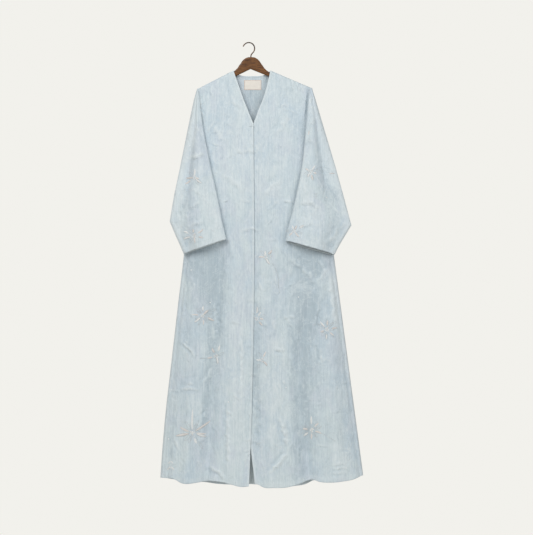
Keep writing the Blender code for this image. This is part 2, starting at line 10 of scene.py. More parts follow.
import bpy
import numpy as np
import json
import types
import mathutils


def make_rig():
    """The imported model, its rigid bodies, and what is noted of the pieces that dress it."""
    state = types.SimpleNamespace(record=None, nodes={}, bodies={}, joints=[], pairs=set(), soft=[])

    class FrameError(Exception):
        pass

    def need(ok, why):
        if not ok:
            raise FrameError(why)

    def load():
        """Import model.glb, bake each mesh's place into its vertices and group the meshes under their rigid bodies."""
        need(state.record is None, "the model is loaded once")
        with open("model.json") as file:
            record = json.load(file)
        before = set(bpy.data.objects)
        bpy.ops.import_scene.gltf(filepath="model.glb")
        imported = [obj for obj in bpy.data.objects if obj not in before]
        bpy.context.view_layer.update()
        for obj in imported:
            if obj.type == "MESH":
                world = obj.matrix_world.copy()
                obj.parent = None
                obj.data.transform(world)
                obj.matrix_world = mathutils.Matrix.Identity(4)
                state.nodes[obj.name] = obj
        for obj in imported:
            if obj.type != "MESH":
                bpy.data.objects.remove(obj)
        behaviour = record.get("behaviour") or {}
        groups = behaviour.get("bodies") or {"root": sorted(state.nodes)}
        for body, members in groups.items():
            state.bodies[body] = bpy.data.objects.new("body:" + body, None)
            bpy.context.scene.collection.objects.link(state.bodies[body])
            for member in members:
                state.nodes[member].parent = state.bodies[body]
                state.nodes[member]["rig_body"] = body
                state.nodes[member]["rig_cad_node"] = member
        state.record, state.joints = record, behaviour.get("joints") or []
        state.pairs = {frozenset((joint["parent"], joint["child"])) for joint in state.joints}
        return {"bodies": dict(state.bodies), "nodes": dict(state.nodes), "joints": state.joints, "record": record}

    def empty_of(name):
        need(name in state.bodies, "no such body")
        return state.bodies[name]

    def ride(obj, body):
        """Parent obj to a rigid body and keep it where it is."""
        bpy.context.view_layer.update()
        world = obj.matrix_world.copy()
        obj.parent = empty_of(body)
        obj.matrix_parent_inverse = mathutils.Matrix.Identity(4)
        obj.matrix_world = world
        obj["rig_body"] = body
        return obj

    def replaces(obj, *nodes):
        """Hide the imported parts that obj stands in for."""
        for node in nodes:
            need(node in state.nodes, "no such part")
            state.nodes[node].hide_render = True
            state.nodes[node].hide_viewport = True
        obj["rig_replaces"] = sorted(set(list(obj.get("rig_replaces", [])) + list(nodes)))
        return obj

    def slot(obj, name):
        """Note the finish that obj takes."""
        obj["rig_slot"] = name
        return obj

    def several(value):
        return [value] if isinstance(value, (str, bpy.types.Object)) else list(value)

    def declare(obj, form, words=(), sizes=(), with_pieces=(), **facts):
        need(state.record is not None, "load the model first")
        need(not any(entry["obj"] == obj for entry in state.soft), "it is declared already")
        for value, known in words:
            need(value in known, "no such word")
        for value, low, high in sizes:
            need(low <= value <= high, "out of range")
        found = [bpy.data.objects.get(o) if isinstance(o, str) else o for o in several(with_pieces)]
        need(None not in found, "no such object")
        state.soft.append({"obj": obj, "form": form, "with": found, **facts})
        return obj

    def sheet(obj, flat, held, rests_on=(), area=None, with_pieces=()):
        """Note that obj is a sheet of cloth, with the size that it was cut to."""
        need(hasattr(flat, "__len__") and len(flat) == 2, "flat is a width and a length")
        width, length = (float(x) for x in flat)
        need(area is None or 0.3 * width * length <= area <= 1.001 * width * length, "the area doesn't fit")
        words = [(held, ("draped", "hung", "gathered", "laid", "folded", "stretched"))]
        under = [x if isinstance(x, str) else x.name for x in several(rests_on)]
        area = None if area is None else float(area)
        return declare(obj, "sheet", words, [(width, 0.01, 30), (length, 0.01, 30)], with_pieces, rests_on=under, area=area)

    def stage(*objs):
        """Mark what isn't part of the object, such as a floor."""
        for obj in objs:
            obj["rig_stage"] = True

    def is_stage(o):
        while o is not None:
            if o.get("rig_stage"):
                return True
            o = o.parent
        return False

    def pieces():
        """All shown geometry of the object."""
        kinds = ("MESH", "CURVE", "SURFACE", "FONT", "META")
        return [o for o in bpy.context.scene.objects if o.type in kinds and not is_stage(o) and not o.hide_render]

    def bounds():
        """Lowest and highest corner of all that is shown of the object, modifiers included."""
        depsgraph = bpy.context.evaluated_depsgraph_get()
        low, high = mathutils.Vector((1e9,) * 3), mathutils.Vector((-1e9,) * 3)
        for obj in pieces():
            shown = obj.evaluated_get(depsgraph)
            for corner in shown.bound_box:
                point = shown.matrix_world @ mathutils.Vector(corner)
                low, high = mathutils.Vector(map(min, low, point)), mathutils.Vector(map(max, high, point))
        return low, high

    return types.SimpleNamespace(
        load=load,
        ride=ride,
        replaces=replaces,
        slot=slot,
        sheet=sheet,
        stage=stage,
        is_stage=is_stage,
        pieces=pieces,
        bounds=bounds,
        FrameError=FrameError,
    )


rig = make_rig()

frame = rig.load()
nodes = frame["nodes"]
cad_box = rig.bounds()


# Camera, lights and floor
# A long lens far off, level with the middle of the photo's frame. A large soft lamp from the upper
# left shapes the folds, a weaker one on the right opens the shadows, and one behind lights the back.
PIXEL = 0.00348  # of the photo, at the front of the cloth
PHOTO_SIZE = (533, 535)
HOOK_PIXEL = (248.7, 42.5)  # where the origin lies in the photo
CAMERA_FAR = 7.0
SENSOR = 36.0  # mm
CLOTH_Y = -0.02
BACKGROUND = (0.887, 0.879, 0.838)
SURROUNDINGS = 0.362  # their strength as a light, where the camera sees them at 1
LAMP_AIM = (0.03, 0, -0.8)
LAMPS = (  # name, place, size, watts and colour
    ("key", (-1.5, -3.4, 1.6), 2.6, 115, (1.0, 0.985, 0.965)),
    ("fill", (2.4, -3.0, 0.3), 2.4, 47, (0.97, 0.985, 1.0)),
    ("rear", (-0.5, 3.4, 1.5), 3.2, 90, (1.0, 0.99, 0.975)),
)
FLOOR_Z = -1.98
FLOOR_HALF = 1.25
FLOOR_ROUGHNESS = 0.9

view_x = (PHOTO_SIZE[0] / 2 - HOOK_PIXEL[0]) * PIXEL
view_z = -(PHOTO_SIZE[1] / 2 - HOOK_PIXEL[1]) * PIXEL

camera_data = bpy.data.cameras.new("camera")
camera_data.sensor_width = SENSOR
camera_data.lens = SENSOR * (CAMERA_FAR + CLOTH_Y) / (PHOTO_SIZE[1] * PIXEL)
camera = bpy.data.objects.new("camera", camera_data)
camera.location = (view_x, -CAMERA_FAR, view_z)
camera.rotation_euler = (math.radians(90), 0, 0)
bpy.context.scene.collection.objects.link(camera)
bpy.context.scene.camera = camera
bpy.context.scene.view_settings.view_transform = "Standard"

world = bpy.data.worlds.new("studio")
bpy.context.scene.world = world
world.use_nodes = True
sky = world.node_tree.nodes
seen = sky.new("ShaderNodeLightPath")
dim = sky.new("ShaderNodeMapRange")
dim.inputs["To Min"].default_value = SURROUNDINGS
dim.inputs["To Max"].default_value = 1.0
sky["Background"].inputs["Color"].default_value = (*BACKGROUND, 1)
world.node_tree.links.new(seen.outputs["Is Camera Ray"], dim.inputs["Value"])
world.node_tree.links.new(dim.outputs["Result"], sky["Background"].inputs["Strength"])


def add_lamp(name, place, size, watts, colour):
    """A square lamp at place, turned to face LAMP_AIM."""
    lamp = bpy.data.lights.new(name, "AREA")
    lamp.size = size
    lamp.energy = watts
    lamp.color = colour
    made = bpy.data.objects.new(name, lamp)
    bpy.context.scene.collection.objects.link(made)
    reach = np.array(LAMP_AIM) - np.array(place)
    flat = math.hypot(reach[0], reach[1])
    made.location = place
    made.rotation_euler = (math.atan2(flat, -reach[2]), 0, math.atan2(-reach[0], reach[1]))


for lamp_row in LAMPS:
    add_lamp(*lamp_row)

floor_mesh = bpy.data.meshes.new("floor")
floor_corners = ((-1, -1), (1, -1), (1, 1), (-1, 1))
floor_points = [(a * FLOOR_HALF, b * FLOOR_HALF, FLOOR_Z) for a, b in floor_corners]
floor_mesh.from_pydata(floor_points, [], [(0, 1, 2, 3)])
floor = bpy.data.objects.new("floor", floor_mesh)
bpy.context.scene.collection.objects.link(floor)
floor_look = bpy.data.materials.new("pale_floor")
floor_look.use_nodes = True
floor_shader = floor_look.node_tree.nodes["Principled BSDF"]
floor_shader.inputs["Base Color"].default_value = (*BACKGROUND, 1)
floor_shader.inputs["Roughness"].default_value = FLOOR_ROUGHNESS
floor_mesh.materials.append(floor_look)
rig.stage(floor)


# The fronts
# Two panels of washed slub cloth from the shoulder and neckline to the hem, the right one lapped over
# the left. A stitched strip, a little raised, edges the neckline and the lap; the hem is turned up.
CLOTH_BLUE = (0.520, 0.618, 0.692)
CLOTH_GREEN = (0.600, 0.686, 0.722)
CLOTH_LILAC = (0.560, 0.624, 0.700)
# CLOTH_DEEP and CLOTH_PALE also serve as the colours of painted shade and painted highlight
CLOTH_DEEP = (0.405, 0.492, 0.552)
CLOTH_PALE = (0.690, 0.758, 0.790)
SIDES = ("right", "left")
SHOULDER_TIP = {"right": (-0.1782, -0.1592), "left": (0.2194, -0.1566)}
NECK_POINT = {"right": (-0.0536, -0.0954), "left": (0.0755, -0.0952)}
HEM_CORNER = {"right": (-0.3083, -1.5160), "left": (0.3994, -1.5080)}
SIDE_BOW = {  # how far each side line strays from straight towards +X, (z, x)
    "right": (
        (-0.450, 0.0), (-0.740, 0.0075), (-0.900, 0.0040), (-1.100, 0.0), (-1.300, -0.0036),
        (-1.420, -0.0026), (-1.516, 0.0),
    ),
    "left": ((-0.450, 0.0), (-1.508, 0.0)),
}
OUTWARD = {"right": -1.0, "left": 1.0}
TO_FRONT, TO_BACK = (0, -1, 0), (0, 1, 0)

# Edges of the cut, as (x, z), or as (z, x) where they are nearly upright
NECK_EDGE = {
    "right": (
        (-0.0536, -0.0954), (-0.0335, -0.1535), (-0.0174, -0.1985), (-0.0050, -0.2295),
        (0.0163, -0.2819),
    ),
    "left": (
        (0.0755, -0.0952), (0.0703, -0.1208), (0.0581, -0.1697), (0.0337, -0.2350),
        (0.0167, -0.2800), (-0.0126, -0.3370),
    ),
}

OPENING_EDGE = {
    "right": (
        (-0.280, 0.0163), (-0.800, 0.0190), (-1.100, 0.0150), (-1.300, 0.0102), (-1.545, 0.0010),
    ),
    "left": (
        (-0.337, -0.0126), (-0.900, -0.0100), (-1.200, -0.0055), (-1.380, 0.0040), (-1.535, 0.0215),
    ),
}
LAP_STEP = 0.0040
LAP_START = 0.001  # past the right panel's edge, where the left one begins to come forward
LAP_FADE = 0.030
LAP_PARTS = (-1.40, -1.50)  # between these heights the laps draw apart
LAP_PARTED = 0.3  # share of the step that is left below them

FRONT_HEM = (
    (-0.3083, -1.5160), (-0.2600, -1.5195), (-0.2377, -1.5305), (-0.1806, -1.5309), (-0.1556, -1.5274),
    (-0.1009, -1.5284), (-0.0592, -1.5368), (-0.0264, -1.5448), (0.0000, -1.5434), (0.0258, -1.5357),
    (0.0532, -1.5472), (0.0880, -1.5483), (0.1326, -1.5472), (0.1625, -1.5406), (0.1949, -1.5291),
    (0.2245, -1.5222), (0.2520, -1.5291), (0.2920, -1.5295), (0.3268, -1.5262), (0.3616, -1.5215),
    (0.3994, -1.5080),
)

HEM_Z = -1.540
ROLL = 0.0095  # radius of the bend over the hanger
THICK = 0.0012
SHOULDER_GAP = 0.00015  # from the seam's plane
# How far the front and the back stand from the seams' plane, and how wide their turn to the side is
SECTION = ("z", "front", "back", "turn")
SECTIONS = (
    (-0.090, 0.0095, 0.0095, 0.050),
    (-0.170, 0.0105, 0.0115, 0.050),
    (-0.280, 0.0150, 0.0150, 0.060),
    (-0.450, 0.0210, 0.0180, 0.075),
    (-0.750, 0.0240, 0.0210, 0.090),
    (-1.100, 0.0270, 0.0250, 0.090),
    (-1.550, 0.0310, 0.0290, 0.080),
)
TURN_POWER = 0.7  # lower is a fuller turn at the side seam

ARMHOLE_LENGTH = 0.270
ARMHOLE_SWELL = 0.006
ARMHOLE_END = 0.0025  # of each edge from the seam's plane, at its lower end
ARMHOLE_CLOSE = 0.020

FOLD_GROWTH = 0.75  # a fold grows downwards by this power
FOLD_NARROW = 0.7  # of its width, at its top
# Hanging folds, from their tops down to the hem; a ridge has a depth over 0
FOLD = ("x_top", "z_top", "x_mid", "z_mid", "x_bottom", "half_width", "depth")
FRONT_FOLDS = (
    (-0.2240, -0.740, -0.2600, -1.200, -0.2860, 0.009, -0.006),
    (-0.1860, -0.700, -0.2000, -1.150, -0.2140, 0.024, 0.011),
    (-0.0900, -0.560, -0.1160, -1.040, -0.1480, 0.022, -0.019),
    (-0.0480, -0.520, -0.0500, -1.040, -0.0460, 0.032, 0.010),
    (0.0620, -0.600, 0.0700, -1.100, 0.0840, 0.036, 0.011),
    (0.2540, -0.720, 0.1750, -1.160, 0.2130, 0.024, -0.019),
    (0.2960, -0.700, 0.2960, -1.150, 0.3050, 0.028, 0.013),
)
# Creases, each (x0, z0, x1, z1, bow, width, depth); a ridge has a depth over 0
FRONT_CREASES = (
    (-0.0560, -0.3800, 0.0490, -0.3776, 0.002, 0.0060, 0.0022),
    (-0.0340, -0.6620, 0.0440, -0.6560, 0.011, 0.0055, 0.0027),
    (-0.0180, -0.8950, 0.0450, -0.9050, 0.003, 0.0060, 0.0012),
    (-0.0260, -1.0530, 0.0280, -1.0620, 0.002, 0.0055, 0.0012),
    (-0.0140, -1.1520, 0.0420, -1.1620, 0.003, 0.0055, 0.0012),
    (-0.0160, -1.3850, 0.0460, -1.3950, 0.003, 0.0060, 0.0012),
    (0.1380, -0.7480, 0.2400, -0.8380, 0.004, 0.0078, 0.0034),
    (0.2780, -0.7800, 0.2340, -0.8400, 0.000, 0.0060, 0.0047),
    (0.0800, -0.7600, 0.1044, -0.8800, 0.008, 0.0040, -0.0028),
    (0.1060, -1.3000, 0.1380, -1.4240, 0.004, 0.0070, 0.0058),
    (0.1400, -1.4180, 0.0700, -1.4960, 0.004, 0.0065, 0.0058),
    (0.1775, -1.3950, 0.1670, -1.4450, 0.000, 0.0050, 0.0039),
    (-0.2330, -1.0430, -0.1860, -1.0930, 0.003, 0.0040, 0.0047),
    (-0.2400, -1.2070, -0.1720, -1.2080, 0.003, 0.0045, 0.0036),
    (-0.2150, -1.1900, -0.1900, -1.1860, 0.002, 0.0035, 0.0026),
    (0.0880, -1.0640, 0.1190, -1.0750, 0.002, 0.0045, 0.0036),
    (0.2450, -1.0560, 0.2560, -1.1180, 0.000, 0.0045, 0.0030),
    (0.2800, -0.8000, 0.3010, -0.9700, 0.003, 0.0090, 0.0058),
    (-0.1450, -1.4730, -0.0800, -1.5160, 0.004, 0.0060, 0.0043),
    (-0.2600, -1.3800, -0.2430, -1.4200, 0.002, 0.0040, 0.0032),
    (-0.1250, -1.1300, -0.1650, -1.1900, 0.004, 0.0060, 0.0030),
    (0.2068, -0.1620, 0.1975, -0.2750, 0.000, 0.0032, -0.0060),
    (-0.1700, -0.1600, -0.1545, -0.2700, 0.000, 0.0032, -0.0055),
    (0.1514, -0.1230, 0.1560, -0.1700, 0.000, 0.0035, 0.0030),
    (0.1700, -0.1300, 0.1760, -0.1750, 0.000, 0.0035, 0.0026),
    (0.1860, -0.1380, 0.1900, -0.1800, 0.000, 0.0030, 0.0022),
    (-0.1300, -0.1480, -0.1270, -0.2000, 0.000, 0.0050, 0.0022),
    (0.1350, -0.2400, 0.0900, -0.3200, 0.010, 0.0090, 0.0026),
    (-0.1200, -0.2800, -0.0700, -0.3500, -0.008, 0.0090, 0.0024),
    (-0.0900, -0.4600, -0.0200, -0.5200, 0.006, 0.0090, 0.0026),
    (0.1200, -0.4700, 0.0500, -0.5400, -0.006, 0.0090, 0.0026),
    (0.2401, -0.7569, 0.2676, -0.7941, 0.001, 0.0050, 0.0030),
    (0.2829, -0.7569, 0.2850, -0.7882, 0.000, 0.0035, -0.0030),
    (0.2502, -0.9159, 0.2304, -1.0130, 0.002, 0.0060, -0.0047),
    (-0.2864, -1.4912, -0.2739, -1.4773, 0.000, 0.0030, 0.0026),
    (-0.2739, -1.4773, -0.2613, -1.4912, 0.000, 0.0030, 0.0026),
    (0.2815, -1.4680, 0.3400, -1.4650, 0.001, 0.0045, 0.0026),
    (0.2860, -1.4820, 0.3456, -1.4790, 0.002, 0.0045, 0.0028),
    (0.2900, -1.4980, 0.3380, -1.4960, 0.001, 0.0040, 0.0022),
    (0.2307, -1.0480, 0.2412, -1.0520, 0.000, 0.0030, 0.0026),
    (-0.1750, -0.1667, -0.1705, -0.1851, 0.000, 0.0035, -0.0026),
    (-0.1643, -0.2474, -0.1580, -0.2906, 0.000, 0.0040, -0.0030),
    (-0.1000, -0.8700, -0.1080, -1.0400, 0.000, 0.0075, -0.0042),
    (-0.1520, -1.2270, -0.1560, -1.3550, 0.000, 0.0070, -0.0036),
    (-0.0738, -1.2440, -0.0720, -1.4880, 0.000, 0.0070, 0.0040),
    (-0.0233, -0.9500, -0.0240, -1.3000, 0.000, 0.0060, 0.0024),
    (0.0330, -1.2000, 0.0300, -1.4300, 0.000, 0.0080, -0.0030),
    (-0.2150, -0.8200, -0.2230, -0.9700, 0.000, 0.0050, -0.0034),
)
CREASE_RISE = (-0.10, 0.35)  # shares of its length over which a crease comes up, from either end
WAVER = 0.3  # how far its line wavers to each side, in widths
WAVER_SLOW, WAVER_QUICK, DEPTH_WAVE = 160, 370, 240  # radians to the metre along it
TROUGH_SHARE, TROUGH_AWAY = 0.55, 1.7  # the trough beside it: of its depth, and widths away
CREASE_HIGHLIGHT = 0.75  # painted highlight on a crease's ridge
CREASE_HIGH = 0.0026
SMALL_CREASE = {  # the ranges that the small creases' sizes are drawn from
    "run": (0.018, 0.055), "slant": (-1.3, 1.3), "bow": (-0.003, 0.003),
    "width": (0.0026, 0.0048), "depth": (0.0008, 0.0024),
}
FRONT_CRUMPLES = (31, 150, (-0.30, -1.52), (0.38, -0.20))  # seed, how many, and between which corners
# The pressed groove beside each side seam, coming in below z over run
SIDE_GROOVE = {"z": -0.72, "run": 0.06, "inset": 0.012, "width": 0.0042, "depth": 0.0070}
WAVES = 14  # slow ones over each face
WAVE = {  # ranges of each slow wave: radians to the metre, where it starts, and its size
    "across": (-95, 95), "down": (4, 30), "phase": (0, 2 * math.pi), "size": (0.3, 1.0),
}
WAVES_REACH = 3.0  # how far their sum usually goes
FRONT_SEED = 3
UNEVEN = 0.0010  # depth of the slow waves

# Soft patches where the cloth is paler, with a tone over 0, or deeper: the cloth's faded tone, and in
# places painted shade and painted light
PATCH = ("x", "z", "rx", "rz", "lean", "tone")
PALE_SPOTS = (
    (-0.0456, -0.7987), (0.0915, -1.0527), (0.1141, -1.0631), (0.0915, -1.1989), (0.1253, -1.3555),
    (0.3073, -1.4042), (0.2899, -0.8404), (-0.1242, -0.9065), (-0.2217, -1.2058), (-0.2443, -1.4042),
    (-0.2718, -1.4807), (0.3264, -1.1397), (0.3134, -1.2093), (0.3395, -1.3485), (0.3525, -1.4181),
    (0.2916, -1.4094), (0.3003, -1.4529), (0.3330, -1.2600),
)
SPOT_SIZE = (0.009, 0.015)
SPOT_TONE = 0.45
# On the fronts the deeper patches under both cuffs, along the left sleeve's inner edge, beside the lap and down the
# fold troughs are painted shade.
FRONT_WASH_AND_SHADE = (
    (0.0000, -0.3750, 0.160, 0.250, 0.000, 0.40),
    (-0.0440, -1.1220, 0.040, 0.400, 0.000, 0.45),
    (0.0915, -1.2615, 0.045, 0.260, 0.000, 0.50),
    (0.3040, -0.8960, 0.028, 0.100, 0.000, 0.60),
    (0.3280, -1.4490, 0.030, 0.035, 0.000, 0.60),
    (0.3560, -1.1570, 0.016, 0.090, -0.168, 0.80),
    (-0.1870, -1.2790, 0.022, 0.050, 0.000, 0.50),
    (-0.1416, -0.8195, 0.052, 0.110, 0.000, -0.85),
    (-0.1200, -1.0530, 0.030, 0.320, 0.092, -0.70),
    (-0.1520, -0.7550, 0.070, 0.045, 0.000, -0.80),
    (0.2130, -0.7600, 0.080, 0.045, 0.000, -0.75),
    (0.0240, -1.1500, 0.018, 0.260, 0.010, -0.60),
    (0.1980, -0.2500, 0.009, 0.110, 0.075, -0.80),
    (0.1640, -0.5300, 0.010, 0.110, 0.240, -0.80),
    (0.1860, -1.1000, 0.048, 0.400, 0.000, -0.80),
    (0.1680, -1.4355, 0.016, 0.090, 0.000, -0.40),
    (0.2240, -0.9400, 0.022, 0.085, 0.200, -0.80),
    (0.2330, -0.7700, 0.012, 0.040, -0.100, -0.60),
    (0.1785, -0.3390, 0.030, 0.090, 0.000, -0.40),
) + tuple((x, z, *SPOT_SIZE, 0.0, SPOT_TONE) for x, z in PALE_SPOTS)

STRIP = 0.0068
STRIP_SOFT = (0.0006, 0.0012)  # its inner edge steps down over this, inside and outside its width
STRIP_RAISE = 0.0005
HEM_DEPTH = 0.0170
HEM_SOFT = (0.001, 0.002)
NECK_LEAN = 0.93  # cosine of the neckline's lean from upright
# Painted highlight: its share along the neck and lap strip, the turned hem, the cut edges and the side turns
EDGE_HIGHLIGHT = {"strip": 0.75, "hem": 0.30, "edge": 0.5, "side": 0.6}
EDGE_HIGHLIGHT_IN, SIDE_HIGHLIGHT_IN = 0.0025, 0.010  # how far in from the edge and from the side seam
RAISED_FROM = 0.004  # below the shoulder line
FRONT_ROWS = 400
FRONT_COLUMNS = ((0.0, 0.03, 6), (0.03, 0.94, 92), (0.94, 1.0, 14))  # closer at both edges
BEND_ROWS = 9  # over the hanger
BEND_REACH = 1.1  # of the bend's radius, down from the shoulder line
TOP_GUESS, TOP_ROUNDS = -0.2, 12


def feed(tree, entry, value):
    """A socket given a value, or joined to another node's output."""
    if isinstance(value, bpy.types.NodeSocket):
        tree.links.new(value, entry)
    else:
        entry.default_value = value


def add_node(tree, kind, settings=None, **sockets):
    """A node with its settings, and its sockets fed."""
    node = tree.nodes.new(kind)
    for name, value in (settings or {}).items():
        setattr(node, name, value)
    for socket, value in sockets.items():
        feed(tree, node.inputs[socket], value)
    return node


def new_material(name, pattern="Object", **sockets):
    """A Principled material with its shader's sockets set, where _ stands for a space. Returns it
    with its node tree, its shader and the coordinates that its patterns read."""
    made = bpy.data.materials.new(name)
    made.use_nodes = True
    shader = made.node_tree.nodes["Principled BSDF"]
    for socket, value in sockets.items():
        shader.inputs[socket.replace("_", " ")].default_value = value
    where = add_node(made.node_tree, "ShaderNodeTexCoord").outputs[pattern]
    return made, made.node_tree, shader, where


def noise(tree, where, stretch, detail=3.0, rough=0.55, distort=0.0):
    """Noise over coordinates multiplied by stretch, cycles to the metre along each axis."""
    placed = add_node(tree, "ShaderNodeMapping", Vector=where, Scale=stretch)
    made = add_node(tree, "ShaderNodeTexNoise", Vector=placed.outputs[0], Scale=1.0, Detail=detail,
                    Roughness=rough, Distortion=distort)
    return made.outputs["Fac"]


def remap(tree, value, low, high, to_low=0.0, to_high=1.0):
    """value taken from low..high to to_low..to_high, clamped."""
    node = add_node(tree, "ShaderNodeMapRange", Value=value)
    node.inputs["From Min"].default_value = low
    node.inputs["From Max"].default_value = high
    node.inputs["To Min"].default_value = to_low
    node.inputs["To Max"].default_value = to_high
    return node.outputs["Result"]


def mix(tree, share, first, second):
    """first and second mixed by share; each is a colour or an output."""
    node = add_node(tree, "ShaderNodeMix", {"data_type": "RGBA"})
    for entry, value in ((0, share), (6, first), (7, second)):
        feed(tree, node.inputs[entry], (*value, 1) if isinstance(value, tuple) else value)
    return node.outputs[2]


def lay_over(tree, colour, value, low, high, most, over):
    """colour with another over it: none where value is low, and its share most where it is high."""
    return mix(tree, remap(tree, value, low, high, 0.0, most), colour, over)


def add_maths(tree, work, first, second=0.0):
    """One step of arithmetic on values or outputs."""
    node = add_node(tree, "ShaderNodeMath", {"operation": work})
    feed(tree, node.inputs[0], first)
    feed(tree, node.inputs[1], second)
    return node.outputs[0]


def colour_and_bump(tree, shader, colour, height, strength, depth):
    """The shader's colour, and its bump: a pattern's height, as deep as depth at full strength."""
    tree.links.new(colour, shader.inputs["Base Color"])
    bump = add_node(tree, "ShaderNodeBump", Strength=strength, Distance=depth, Height=height)
    tree.links.new(bump.outputs[0], shader.inputs["Normal"])


def make_cloth_material():
    """A faded slub weave: clouds of blue, greenish and lilac grey, paler or deeper where the
    "wash" attribute says, which holds the cloth's faded tone and also painted shade
    and painted highlight, fine upright streaks and slubs, thin pale veins, and painted highlight along
    edges and folds, which the "edge" attribute marks."""
    made, tree, shader, where = new_material(
        "blue_cloth", Roughness=0.62, Specular_IOR_Level=0.30, Sheen_Weight=0.18, Sheen_Roughness=0.45,
        Sheen_Tint=(0.90, 0.95, 1.0, 1),
    )
    clouds = noise(tree, where, (11.0, 11.0, 6.0), 3.0, 0.5, 0.8)
    tints = noise(tree, where, (17.0, 17.0, 9.0), 2.0, 0.5, 0.5)
    patches = noise(tree, where, (34.0, 34.0, 17.0), 4.0, 0.62, 1.4)
    mottled = noise(tree, where, (95.0, 95.0, 60.0), 4.0, 0.65, 0.9)
    streaks = noise(tree, where, (230.0, 230.0, 6.0), 4.0, 0.62)
    slubs = noise(tree, where, (420.0, 420.0, 22.0), 3.0, 0.6)
    threads = noise(tree, where, (1000.0, 1000.0, 80.0), 2.0, 0.7)
    cracked = noise(tree, where, (15.0, 15.0, 9.0), 5.0, 0.58, 2.2)
    veins = add_maths(tree, "ABSOLUTE", add_maths(tree, "SUBTRACT", cracked, 0.5))
    painted_highlight = add_node(tree, "ShaderNodeAttribute", {"attribute_name": "edge"}).outputs["Fac"]
    tone_light_and_shade = add_node(tree, "ShaderNodeAttribute", {"attribute_name": "wash"}).outputs["Fac"]
    for value, size in ((patches, 1.7), (mottled, 1.3)):
        ragged = add_maths(tree, "MULTIPLY", add_maths(tree, "SUBTRACT", value, 0.5), size)
        tone_light_and_shade = add_maths(tree, "ADD", tone_light_and_shade, ragged)
    colour = mix(tree, remap(tree, clouds, 0.36, 0.62), CLOTH_BLUE, CLOTH_GREEN)
    for value, low, high, most, over in (
        (tints, 0.48, 0.66, 0.75, CLOTH_LILAC),
        # patches of the cloth's faded tone, with painted shade and painted highlight among them
        (tone_light_and_shade, -0.05, -0.80, 0.85, CLOTH_DEEP),
        (tone_light_and_shade, 0.05, 0.80, 0.85, CLOTH_PALE),
        (veins, 0.020, 0.0, 0.50, CLOTH_PALE),
        (streaks, 0.50, 0.72, 0.34, CLOTH_DEEP),
        (streaks, 0.50, 0.28, 0.30, CLOTH_PALE),
        (slubs, 0.50, 0.72, 0.35, CLOTH_DEEP),
        (slubs, 0.46, 0.28, 0.35, CLOTH_PALE),
        (threads, 0.40, 0.70, 0.16, CLOTH_DEEP),
        # painted highlight along edges and folds
        (painted_highlight, 0.0, 1.0, 0.60, CLOTH_PALE),
    ):
        colour = lay_over(tree, colour, value, low, high, most, over)
    tree.links.new(remap(tree, streaks, 0.3, 0.7, 0.55, 0.70), shader.inputs["Roughness"])
    crinkle = noise(tree, where, (80.0, 80.0, 46.0), 3.0, 0.6, 0.9)
    rumpled = noise(tree, where, (30.0, 30.0, 19.0), 2.0, 0.5, 1.2)
    relief = add_maths(tree, "MULTIPLY", threads, 0.4)
    for value, height in ((slubs, 0.7), (crinkle, 3.6), (rumpled, 5.0)):
        relief = add_maths(tree, "ADD", relief, add_maths(tree, "MULTIPLY", value, height))
    colour_and_bump(tree, shader, colour, relief, 0.7, 0.0009)
    return made


def spline(x, table):
    """Smooth curve through the rows (x, y) of a table, by cubic pieces with averaged slopes."""
    rows = np.array(sorted(table))
    xs, ys = rows[:, 0], rows[:, 1]
    slope = np.gradient(ys, xs)
    x = np.clip(np.asarray(x, float), xs[0], xs[-1])
    i = np.clip(np.searchsorted(xs, x) - 1, 0, len(xs) - 2)
    step = xs[i + 1] - xs[i]
    t = (x - xs[i]) / step
    a, b = 1 + 2 * t, t - 1
    near = a * b * b * ys[i] + t * b * b * step * slope[i]
    far = t * t * (3 - 2 * t) * ys[i + 1] + t * t * b * step * slope[i + 1]
    return near + far


def ease(low, high, x):
    """0 below low and 1 above high, with a smooth step between them."""
    t = np.clip((np.asarray(x, float) - low) / (high - low), 0.0, 1.0)
    return t * t * (3 - 2 * t)


def side_x(side, z):
    """The body's side line: straight from the shoulder tip to the corner of the hem, and bowed."""
    (x0, z0), (x1, z1) = SHOULDER_TIP[side], HEM_CORNER[side]
    return x0 + (x1 - x0) * (z0 - z) / (z0 - z1) + spline(z, SIDE_BOW[side])


def section_size(name, z):
    """A size of the body's section at height z, on a smooth curve down its table."""
    return spline(z, [(row[0], row[SECTION.index(name)]) for row in SECTIONS])


def shoulder_z(side, x):
    """Height of the shoulder line, straight from the tip to the neck point."""
    (x0, z0), (x1, z1) = SHOULDER_TIP[side], NECK_POINT[side]
    return z0 + (z1 - z0) * (x - x0) / (x1 - x0)


def below_shoulder(x, z):
    """Distance square to the nearer shoulder line, downwards."""
    found = []
    for side in SIDES:
        (x0, z0), (x1, z1) = SHOULDER_TIP[side], NECK_POINT[side]
        found.append((shoulder_z(side, x) - z) * math.cos(math.atan2(abs(z1 - z0), abs(x1 - x0))))
    return np.minimum(*found)


def armhole(side, z):
    """How far each armhole edge stands in front of or behind the side seam's plane."""
    top = SHOULDER_TIP[side][1]
    share = np.clip((top - z) / ARMHOLE_LENGTH, 0.0, 1.0)
    stand = ROLL + (ARMHOLE_END - ROLL) * share + ARMHOLE_SWELL * np.sin(math.pi * share)
    return stand * (1 - ease(0.0, ARMHOLE_CLOSE, top - ARMHOLE_LENGTH - z))


def folds(table, x, z):
    """Sum of hanging folds: each a bell across a curved line, deeper and wider on its way down."""
    total = np.zeros(np.broadcast(x, z).shape)
    for row in table:
        f = dict(zip(FOLD, row))
        line = spline(z, ((f["z_top"], f["x_top"]), (f["z_mid"], f["x_mid"]), (HEM_Z, f["x_bottom"])))
        grown = np.clip((f["z_top"] - z) / (f["z_top"] - HEM_Z), 0.0, 1.0) ** FOLD_GROWTH
        width = f["half_width"] * (FOLD_NARROW + (1 - FOLD_NARROW) * grown)
        total = total + f["depth"] * grown * np.exp(-(((x - line) / width) ** 2))
    return total


